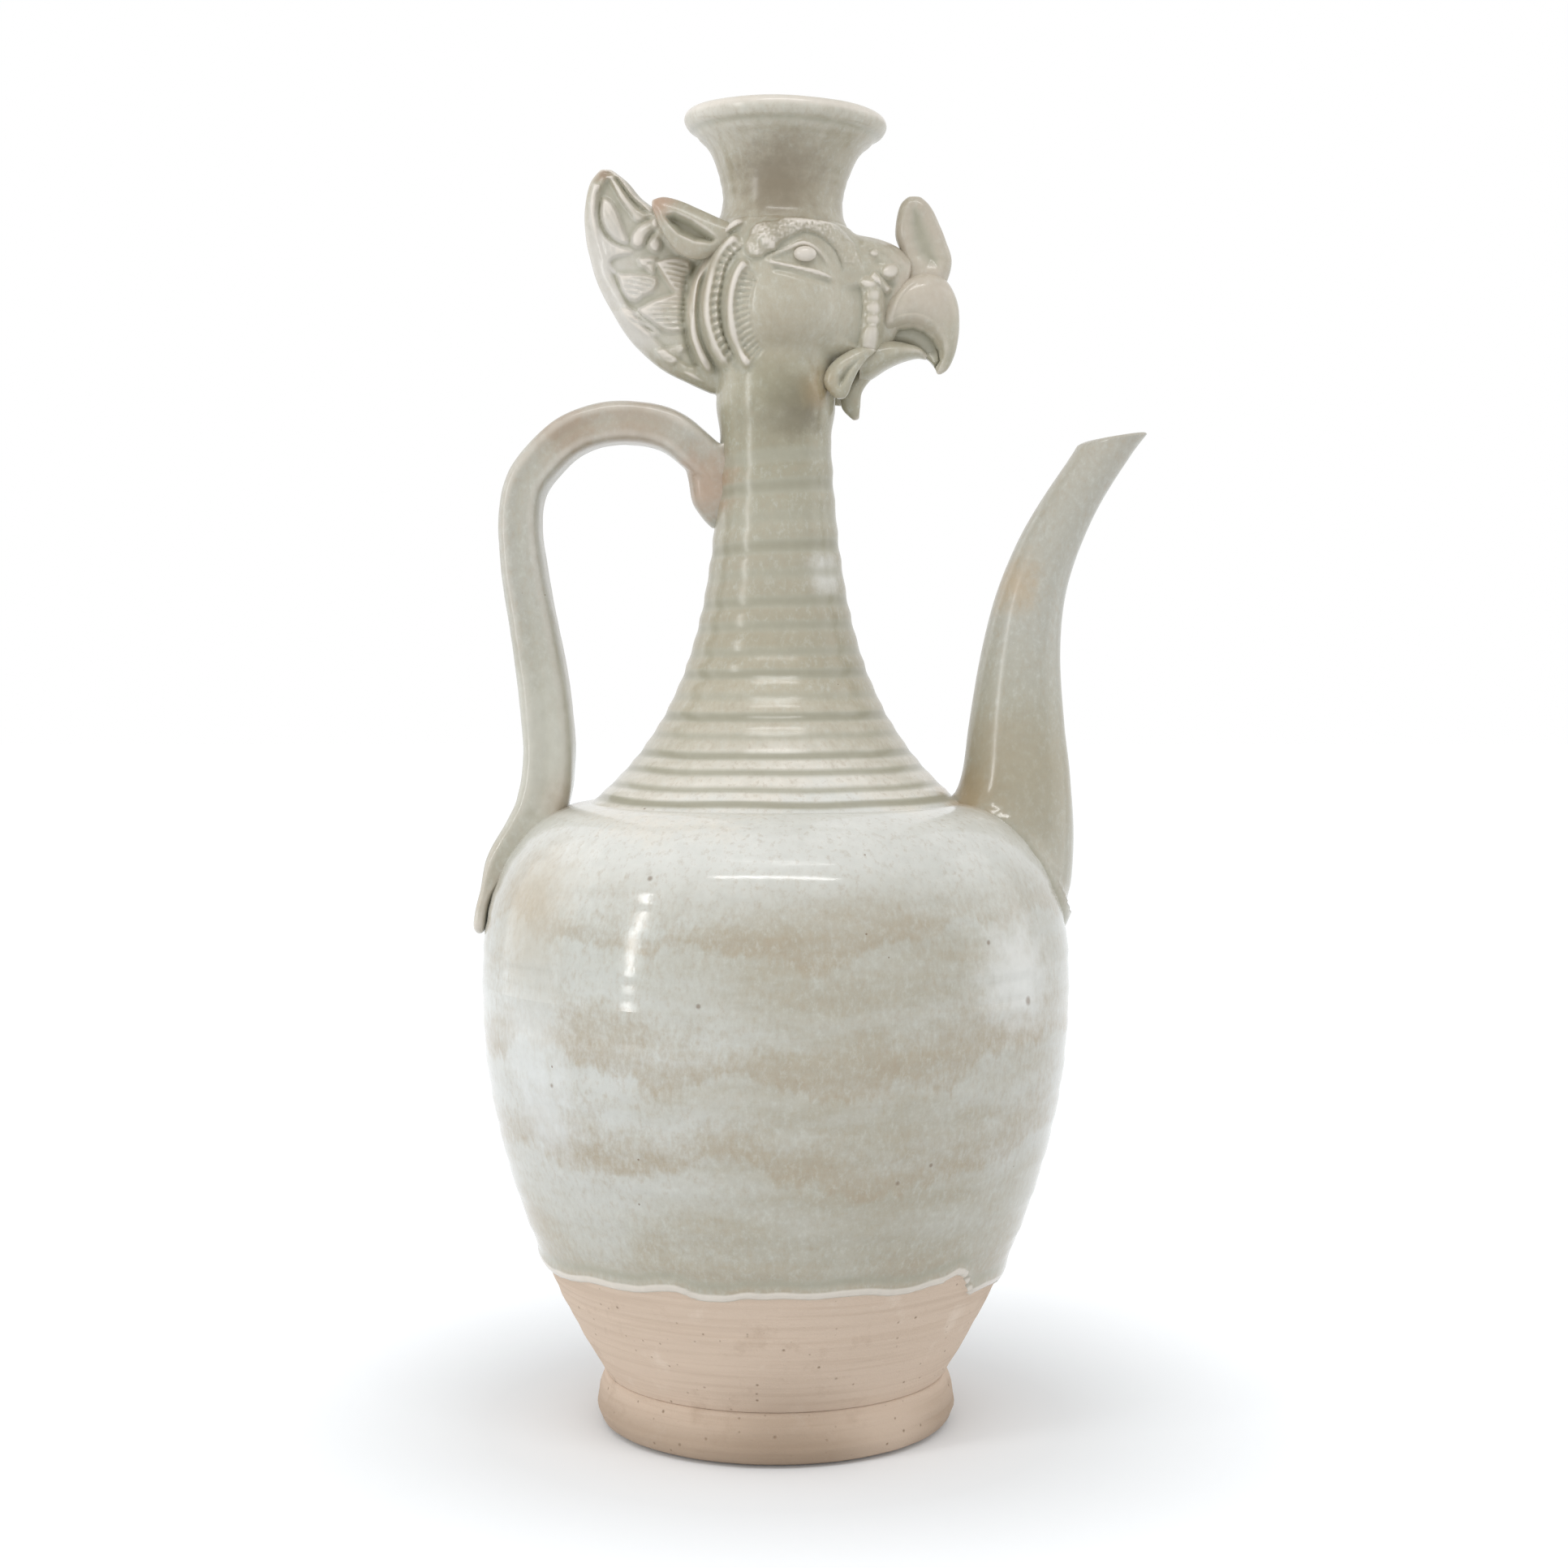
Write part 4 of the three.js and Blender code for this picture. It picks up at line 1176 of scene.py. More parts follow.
@dataclass
class Vessel:
    """Foot, body and neck, turned on the wheel."""

    foot_height: float = 15.5
    foot_radius: float = 52.4
    foot_rest_radius: float = 47.2
    foot_widest_height: float = 5.0
    waist_radius: float = 49.7
    recess_radius: float = 38.0
    recess_depth: float = 2.0
    belly_radius: float = 85.2
    belly_height: float = 130.0
    shoulder_height: float = 181.0
    shoulder_radius: float = 53.8
    shoulder_fullness: float = 2.3
    body_wall: float = 5.0
    floor_thickness: float = 7.0
    neck_top: float = 296.0
    neck_slim_radius: float = 14.6
    neck_slimming: float = 32.0
    neck_wall: float = 5.0
    collar_radius: float = 17.2
    collar_height: float = 10.0
    rib_count: int = 16
    rib_low: float = 182.9
    rib_high: float = 280.2
    rib_depth: float = 0.36
    groove_share: float = 0.36
    rib_evenness: float = 0.587
    rib_slope: float = 5.5
    head_lean: float = 2.0
    wave_heights: tuple[float, float] = (0.11, 0.07)
    wave_pitches: tuple[float, float] = (11.5, 5.3)
    glaze_line: float = 50.6
    rolled_edge: float = 0.55
    steps: int = 192

    def lower_radius(self, z: float | Array) -> float | Array:
        """Radius from the foot up to the belly."""
        share = (z - self.foot_height) / (self.belly_height - self.foot_height)
        return self.belly_radius - (self.belly_radius - self.waist_radius) * (1 - share) ** 2

    def upper_radius(self, z: float | Array) -> float | Array:
        """Radius from the belly up over the shoulder."""
        share = np.clip((z - self.belly_height) / (self.shoulder_height - self.belly_height), 0, 1)
        fullness = np.sqrt(1 - share ** self.shoulder_fullness)
        return self.shoulder_radius + (self.belly_radius - self.shoulder_radius) * fullness

    def neck_radius(self, z: float | Array) -> float | Array:
        """Work out the neck's radius, without its ribs.

        Args:
            z: heights in mm.

        Returns:
            The radius at each height.
        """
        spare = self.shoulder_radius - self.neck_slim_radius
        slim = self.neck_slim_radius + spare * np.exp((self.shoulder_height - z) / self.neck_slimming)
        end = self.neck_slim_radius + spare * math.exp(
            (self.shoulder_height - self.neck_top) / self.neck_slimming)
        flare = smoothstep(self.neck_top - self.collar_height, self.neck_top, z)
        return slim + (self.collar_radius - end) * flare

    def outside(self, z: Array) -> Array:
        """Radius of the whole vessel at each height."""
        low = np.where(z < self.belly_height, self.lower_radius(z), self.upper_radius(z))
        return np.where(z < self.shoulder_height, low, self.neck_radius(z))

    def throwing_wave(self, places: Array) -> Array:
        """How far the wheel's waves stand out on the body, in mm.

        Args:
            places: places in mm, one a row.

        Returns:
            One number for each place.
        """
        round_place = np.arctan2(places[:, 0], -places[:, 1])
        z = places[:, 2]
        shifts = (0.7 * np.sin(round_place + 1.0), 1.3 * np.sin(round_place * 2))
        wave = np.zeros(len(places))
        for height, pitch, shift in zip(self.wave_heights, self.wave_pitches, shifts):
            wave += height * np.sin(z * 2 * math.pi / pitch + shift)
        return wave * smoothstep(20, 40, z) * (1 - smoothstep(168, 178, z))

    def ribs(self, places: Array) -> Array:
        """How far the neck's ribs stand out, in mm. Upper grooves climb towards the spout.

        Args:
            places: places in mm, one a row.

        Returns:
            One number for each place.
        """
        share = np.linspace(0, 1, self.rib_count)
        bunched = self.rib_evenness * share + (1 - self.rib_evenness) * share ** 2
        grooves = self.rib_low + (self.rib_high - self.rib_low) * bunched
        slope = math.tan(math.radians(self.rib_slope)) * smoothstep(205, 285, places[:, 2])
        wander = 0.5 * unevenness(places * (1, 1, 0.3), 26.0)
        level = places[:, 2] - places[:, 0] * slope + wander
        turns = np.interp(level, grooves, np.arange(self.rib_count))
        into_groove = np.abs(turns - turns.round())
        wave = 0.35 - bump(into_groove, 0.0, self.groove_share)
        firm = 1 + 0.35 * np.sin(turns * 2.7 + 0.8)
        fade = smoothstep(grooves[0] - 1.8, grooves[0], level)
        fade = fade * (1 - smoothstep(grooves[-1], grooves[-1] + 4, level))
        return self.rib_depth * firm * wave * fade

    def push_out(self, skin: Skin, amount: Array) -> None:
        """Move a turned skin's points away from the axis, but not its inner wall.

        Args:
            skin: the turned skin.
            amount: how far each point moves, in mm.
        """
        places = skin.places
        radius = from_axis(places)
        outer = radius > self.outside(places[:, 2]) - 2.2
        scale = 1 + np.where(outer, amount, 0.0) / np.maximum(radius, 1e-6)
        skin.places = widened(places, scale)

    def glaze_edge(self, places: Array) -> Array:
        """How far each place lies above the glaze's wandering lower edge, in mm.

        Args:
            places: places in mm, one a row.

        Returns:
            One number for each place.
        """
        place = np.arctan2(places[:, 0], -places[:, 1])
        line = self.glaze_line + 0.9 * np.cos(place - 0.3) - 1.6 * bump(place, -1.15, 0.45)
        line = line + 1.8 * bump(place, -0.44, 0.1) + 2.4 * bump(place, 0.79, 0.05)
        line = line - 6.2 * (smoothstep(0.84, 0.95, place) - smoothstep(1.7, 2.5, place))
        line = line + 0.4 * np.sin(place * 7 + 1) + 0.25 * np.sin(place * 17 + 2)
        line = line + 0.9 * unevenness(places * (1, 1, 0.2), 7.0)
        return places[:, 2] - line

    def foot(self, finish: Material) -> None:
        """Build the bare foot, splayed a little and cut slightly hollow beneath.

        Args:
            finish: its material.
        """
        splay = self.foot_radius - self.foot_rest_radius
        outline = [
            (0.0, self.recess_depth), (self.recess_radius, self.recess_depth),
            (self.recess_radius + self.recess_depth, 0.0), (self.foot_rest_radius, 0.0),
            (self.foot_rest_radius + splay * 0.7, self.foot_widest_height * 0.3),
            (self.foot_radius, self.foot_widest_height),
            ((self.foot_radius * 2 + self.waist_radius) / 3, self.foot_height * 0.7),
            (self.waist_radius, self.foot_height), (0.0, self.foot_height)]
        shape = bmesh.new()
        turn(shape, outline, self.steps)
        turned_edges = [e for e in shape.edges if len(e.link_faces) == 2 and self._is_ring(e)]
        bmesh.ops.bevel(
            shape, geom=turned_edges, offset=0.9, affect="EDGES", segments=3, profile=0.5, material=-1)
        around = [e for e in shape.edges if not self._is_ring(e) and e.calc_length() > 2.5
                  and max(v.co.xy.length for v in e.verts) > self.recess_radius]
        bmesh.ops.subdivide_edges(shape, edges=around, cuts=4, use_grid_fill=True)
        skin = Skin(shape)
        places = skin.places
        radius = from_axis(places)
        worn = 0.22 * unevenness(places * (1, 1, 2.2), 9.0) + 0.12 * unevenness(places, 3.0)
        scale = 1 + np.where((radius > 44) & (places[:, 2] > 1), worn, 0) / np.maximum(radius, 1)
        skin.places = widened(places, scale)
        skin.piece("foot", finish, ["foot_ring"], slot="bare_clay")

    @staticmethod
    def _is_ring(edge: bmesh.types.BMEdge) -> bool:
        """Whether an edge runs round the axis at one height and radius."""
        first, second = (vert.co for vert in edge.verts)
        level = abs(first.z - second.z) < 1e-3
        return level and abs(first.xy.length - second.xy.length) < 1e-3 and first.xy.length > 1

    def lower_body(self, finish: Material) -> None:
        """Build the lower half of the body, glazed down to a thick rolled edge.

        Args:
            finish: its material.
        """
        inside = self.foot_height + self.floor_thickness
        outer = np.concatenate([
            np.arange(self.foot_height, 40, 1.3),
            np.arange(40, 60, 0.55),
            np.linspace(60, self.belly_height, 44),
        ])
        inner = np.linspace(self.belly_height, inside, 10)
        outline = [(0.0, self.foot_height)] + [(self.lower_radius(z), z) for z in outer]
        outline += [(self.lower_radius(z) - self.body_wall, z) for z in inner] + [(0.0, inside)]
        shape = bmesh.new()
        turn(shape, outline, self.steps)
        skin = Skin(shape)
        places = skin.places
        edge = self.glaze_edge(places)
        weight = 1 + 0.6 * np.abs(np.sin(np.arctan2(places[:, 0], -places[:, 1])))
        rolled = self.rolled_edge * weight * bump(edge, 1.3, 1.3 * weight) * (edge > 0) + 0.3 * (edge > 0)
        worn = 0.18 * unevenness(places * (1, 1, 2.2), 8.0) * (edge < 0) * (places[:, 2] > 16.5)
        outside = from_axis(places) > self.lower_radius(places[:, 2]) - 2
        settled = 1 - smoothstep(self.belly_height - 30, self.belly_height - 4, places[:, 2])
        self.push_out(skin, self.throwing_wave(places) + (rolled + worn) * settled)
        skin.mark("glaze_edge", np.where(outside | (places[:, 2] < inside), edge, 5.0))
        thick = 0.5 * bump(edge, 4.6, 1.8) - 0.9 * bump(edge, 1.2, 1.0)
        skin.mark("pool_and_shade", thick)
        skin.piece("lower_body_shell", finish, ["lower_body"])

    def upper_body(self, finish: Material) -> None:
        """Build the upper half of the body and the shoulder.

        Args:
            finish: its material.
        """
        angles = np.linspace(0, math.pi / 2, 56)
        heights = self.belly_height + (self.shoulder_height - self.belly_height) * np.sin(angles)
        hole = self.shoulder_radius - self.body_wall
        inner = [z for z in heights[::6] if z < self.shoulder_height - self.body_wall]
        outline = [(self.upper_radius(z), z) for z in heights]
        outline += [(hole, self.shoulder_height)]
        outline += [(hole + self.body_wall, self.shoulder_height - self.body_wall)]
        outline += [(self.upper_radius(z) - self.body_wall, z) for z in reversed(inner)]
        shape = bmesh.new()
        turn(shape, outline, self.steps)
        skin = Skin(shape)
        places = skin.places
        self.push_out(skin, self.throwing_wave(places))
        skin.mark("pool_and_shade", np.zeros(len(places)))
        skin.piece("upper_body_shell", finish, ["upper_body"])

    def neck(self, finish: Material) -> None:
        """Build the slender neck with its throwing ribs.

        Args:
            finish: its material.
        """
        outer = np.linspace(self.shoulder_height, self.neck_top, 176)
        inner = np.linspace(self.neck_top, self.shoulder_height, 12)
        outline = [(self.neck_radius(z), z) for z in outer]
        outline += [(self.neck_radius(z) - self.neck_wall, z) for z in inner]
        shape = bmesh.new()
        turn(shape, outline, 160)
        skin = Skin(shape)
        places = skin.places
        ribs = self.ribs(places)
        self.push_out(skin, ribs)
        places = skin.places
        near_top = np.clip((places[:, 2] - self.neck_top + self.collar_height) / self.collar_height, 0, 1)
        places[:, 2] -= places[:, 0] * math.tan(math.radians(self.head_lean)) * near_top
        skin.places = places
        # The grooves between ribs darken: pooled glaze and painted shade below each ridge.
        skin.mark("pool_and_shade", (-1.1 * np.minimum(ribs, 0.0) - 0.3 * np.maximum(ribs, 0.0)) / self.rib_depth)
        skin.piece("ribbed_neck", finish, ["neck"])

    def build(self, glazed: Material, dipped: Material, bare: Material) -> None:
        """Build every turned piece.

        Args:
            glazed: the glaze.
            dipped: the glaze over bare clay.
            bare: the bare clay.
        """
        self.foot(bare)
        self.lower_body(dipped)
        self.upper_body(glazed)
        self.neck(glazed)


@dataclass
class Spout:
    """The hollow spout that rises from the shoulder and bends outwards."""

    vessel: Vessel
    finish: Material
    stations: tuple[Place, ...] = (
        (62.2, 148.3), (66, 157.8), (68.7, 170.5), (70, 187.3), (70, 202.1), (71.4, 225.3),
        (75.1, 244.3), (83, 263.3), (94.6, 282), (101.1, 290.7),
    )
    tip: Place = (97.0, 286.5)
    tip_radius: float = 7.0
    root_radius: float = 19.5
    root_height: float = 162.0
    swelling: float = 1.5
    wall: float = 3.2
    cut_angle: float = 9.4
    fillet: float = 2.6
    bends_from: float = 0.72
    sides: int = 64

    def radius(self, z: float) -> float:
        """Outer radius of the spout where its middle is at a height."""
        share = min(max((self.tip[1] - z) / (self.tip[1] - self.root_height), 0.0), 1.0)
        return self.tip_radius + (self.root_radius - self.tip_radius) * share ** self.swelling

    def cut_share(self, path: SmoothLine, normal: Array) -> float:
        """How far along the path the slanting mouth lies.

        Args:
            path: the spout's middle line.
            normal: the mouth's facing, in the side view.

        Returns:
            The share of the path.
        """
        shares = np.linspace(0.7, 1.0, 600)
        heights = [float(np.dot(path.at(share) - np.array(self.tip), normal)) for share in shares]
        return float(np.interp(0.0, heights, shares))

    def ring(self, path: SmoothLine, share: float, radius: float, mouth: Array, bend: float,
             lift: float = 0.0) -> Array:
        """One ring of the spout.

        Args:
            path: the spout's middle line.
            share: how far along it the ring stands.
            radius: the ring's radius.
            mouth: the mouth's facing, in the side view.
            bend: 0 for a ring square to the path, 1 for one in the mouth's plane.
            lift: how far the ring is shifted along the path.

        Returns:
            The ring's places.
        """
        here = path.at(share)
        run = path.at(min(share + 1e-3, 1.0)) - path.at(share - 1e-3)
        run /= np.linalg.norm(run)
        facing = run * (1 - bend) + mouth * bend
        flat = section(radius, radius, self.sides)
        across = np.array([-run[1], run[0]])
        side_view = flat[:, 1:] * across
        slide = -(side_view @ facing) / float(run @ facing) + lift
        side_view = here + side_view + slide[:, None] * run
        return np.stack([side_view[:, 0], flat[:, 0], side_view[:, 1]], axis=1)

    def build(self) -> None:
        """Build the spout with its bore and its rounded lip."""
        path = SmoothLine(self.stations)
        tilt = math.radians(self.cut_angle)
        mouth = np.array([-math.sin(tilt), math.cos(tilt)])
        end = self.cut_share(path, mouth)
        rings = []
        for share in np.linspace(0.0, end - 0.012, 84):
            radius = self.radius(path.at(share)[1])
            rings.append(
                self.ring(path, share, radius, mouth, float(smoothstep(self.bends_from, end, share))))
        lip = self.wall / 2
        for angle in np.linspace(0.15 * math.pi, 0.95 * math.pi, 9):
            radius = self.tip_radius - lip + lip * math.cos(angle)
            rings.append(self.ring(path, end, radius, mouth, 1.0, lip * (math.sin(angle) - 1)))
        for share in np.linspace(end - 0.02, 0.02, 30):
            radius = self.radius(path.at(share)[1]) - self.wall
            rings.append(
                self.ring(path, share, radius, mouth, float(smoothstep(self.bends_from, end, share))))
        shape = bmesh.new()
        loft(shape, rings, closed=True)
        skin = Skin(shape)
        self._flare_foot(skin)
        uneven = 0.22 * unevenness(skin.places * (1, 1, 0.5), 11.0)
        skin.raise_by(uneven * (skin.places[:, 2] < 280))
        places = skin.places
        gap = from_axis(places) - self.vessel.outside(places[:, 2])
        height_gap = np.minimum(np.abs(gap), np.abs(places[:, 2] - self.vessel.shoulder_height) + 3)
        # Darker where the spout meets the shoulder: pooled glaze and painted shade in the join.
        skin.mark("pool_and_shade", 0.5 * (1 - smoothstep(0.2, 2.4, height_gap)))
        skin.piece("pouring_spout", self.finish, ["spout"])

    def _flare_foot(self, skin: Skin) -> None:
        """Spread the clay where the spout was luted to the shoulder.

        Args:
            skin: the spout's skin.
        """
        places = skin.places
        axis_x = np.interp(places[:, 2], [z for _, z in self.stations], [x for x, _ in self.stations])
        out = np.stack([places[:, 0] - axis_x, places[:, 1]], axis=1)
        size = np.maximum(np.linalg.norm(out, axis=1), 1e-6)
        surface = self.surface_height(places)
        spread = self.fillet * np.exp(-np.clip(places[:, 2] - surface, 0, None) / self.fillet)
        outer = size > self.root_radius * 0.62
        spread = spread * outer * (places[:, 2] < 205)
        places[:, :2] += out / size[:, None] * spread[:, None]
        skin.places = places

    def surface_height(self, places: Array) -> Array:
        """Find the height of the vessel's outside straight below each place.

        Args:
            places: places in mm, one a row.

        Returns:
            One number for each place.
        """
        heights = np.linspace(self.vessel.belly_height, self.vessel.neck_top, 500)
        radii = self.vessel.outside(heights)
        radius = from_axis(places)
        return np.interp(-radius, -radii, heights)


@dataclass
class Handle:
    """The strap handle, arched from the neck and pressed flat down the shoulder."""

    vessel: Vessel
    finish: Material
    width: float = 20.0
    thickness: float = 12.0
    squareness: float = 4.0
    channel: float = 1.0
    tail_thickness: float = 4.0
    root_narrowing: float = 0.28
    arch_height: float = 290.7
    reach: float = 74.0
    grain: float = 0.6
    path: tuple[Place, ...] = field(init=False)

    def __post_init__(self) -> None:
        """Lay the middle line out from the vessel's sizes."""
        low = self.vessel.shoulder_height
        rise = self.arch_height - low
        drop = low - self.vessel.belly_height
        tail_top, tail_end = self.vessel.belly_height + drop * 0.62, self.vessel.belly_height + drop * 0.25

        def tail(z: float) -> float:
            """Where the pressed tail's middle lies at a height."""
            return -(float(self.vessel.upper_radius(z)) + self.tail_thickness / 2 - 0.2)

        collar, reach = self.vessel.collar_radius, self.reach
        self.path = (
            (-collar * 0.45, low + rise * 0.79), (-collar * 1.25, low + rise * 0.915),
            (-reach * 0.42, low + rise * 0.98), (-reach * 0.61, self.arch_height),
            (-reach * 0.785, low + rise * 0.97), (-reach * 0.9, low + rise * 0.907),
            (-reach * 0.977, low + rise * 0.832), (-reach, low + rise * 0.747),
            (-reach * 0.985, low + rise * 0.62), (-reach * 0.943, low + rise * 0.447),
            (-reach * 0.904, low + rise * 0.273), (-reach * 0.891, low + rise * 0.1),
            (-reach * 0.925, low - rise * 0.015), (tail(tail_top) + 0.4, tail_top),
            (tail((tail_top + tail_end) / 2), (tail_top + tail_end) / 2), (tail(tail_end), tail_end))

    def strap_rings(self) -> list[Array]:
        """Rings of the strap, with a shallow channel along each edge."""
        path = SmoothLine(self.path)
        rings = []
        for share in np.linspace(0, 1, 200):
            here = path.at(share)
            run = path.at(min(share + 1e-3, 1.0)) - path.at(max(share - 1e-3, 0.0))
            run /= np.linalg.norm(run)
            lower = float(smoothstep(20, 90, self.arch_height - here[1]))
            pressed = float(smoothstep(0.78, 0.93, share))
            half = self.thickness / 2 + lower * 1.4
            thick = half * (1 - pressed) + self.tail_thickness / 2 * pressed
            rounded = math.sqrt(1 - float(np.clip((share - 0.972) / 0.028, 0, 0.98)) ** 2)
            root = self.root_narrowing * (1 - float(smoothstep(0.02, 0.12, share)))
            wide = self.width / 2 * (1 - 0.15 * pressed - root) * (0.35 + 0.65 * rounded)
            flat = section(wide, thick * (0.3 + 0.7 * rounded), 48, self.squareness)
            dent = self.channel * bump(flat[:, 1] / thick, 0.0, 0.42) * (1 - pressed)
            flat[:, 0] -= np.sign(flat[:, 0]) * dent * (np.abs(flat[:, 0]) > wide * 0.8)
            across = np.array([-run[1], run[0]])
            side_view = here + flat[:, 1:] * across
            rings.append(np.stack([side_view[:, 0], flat[:, 0], side_view[:, 1]], axis=1))
        return rings

    def tongue_chords(self) -> list[tuple[float, ...]]:
        """Chords of the root, which thins into a tongue down the neck."""
        out = -self.vessel.collar_radius
        top = self.vessel.shoulder_height + (self.arch_height - self.vessel.shoulder_height) * 0.91
        half = self.width * 0.37
        return [
            (out - 9.5, top, out + 6, top + 5, half), (out - 8, top - 7, out + 6, top - 5, half * 0.95),
            (out - 7, top - 13, out + 6, top - 13, half * 0.85),
            (out - 4.2, top - 17.5, out + 6, top - 18, half * 0.6),
            (out - 1.4, top - 20.5, out + 6, top - 21, half * 0.2)]

    def build(self) -> None:
        """Build the handle."""
        shape = bmesh.new()
        loft(shape, self.strap_rings())
        loft(shape, chord_rings(self.tongue_chords(), 24, squareness=2.6))
        skin = Skin(shape).fuse(self.grain, 5)
        places = skin.places
        radius = from_axis(places)
        floor = np.where(places[:, 2] > 200, self.vessel.neck_radius(places[:, 2]) - 3.4, 0.0)
        scale = np.maximum(radius, floor) / np.maximum(radius, 1e-6)
        skin.places = widened(places, scale)
        skin.raise_by(0.2 * unevenness(skin.places, 13.0) + 0.08 * unevenness(skin.places, 4.0))
        skin.soften(2)
        # Hollows of the handle darken: pooled glaze and painted shade.
        skin.mark("pool_and_shade", skin.hollowness(60))
        skin.piece("strap_handle", self.finish, ["handle"])


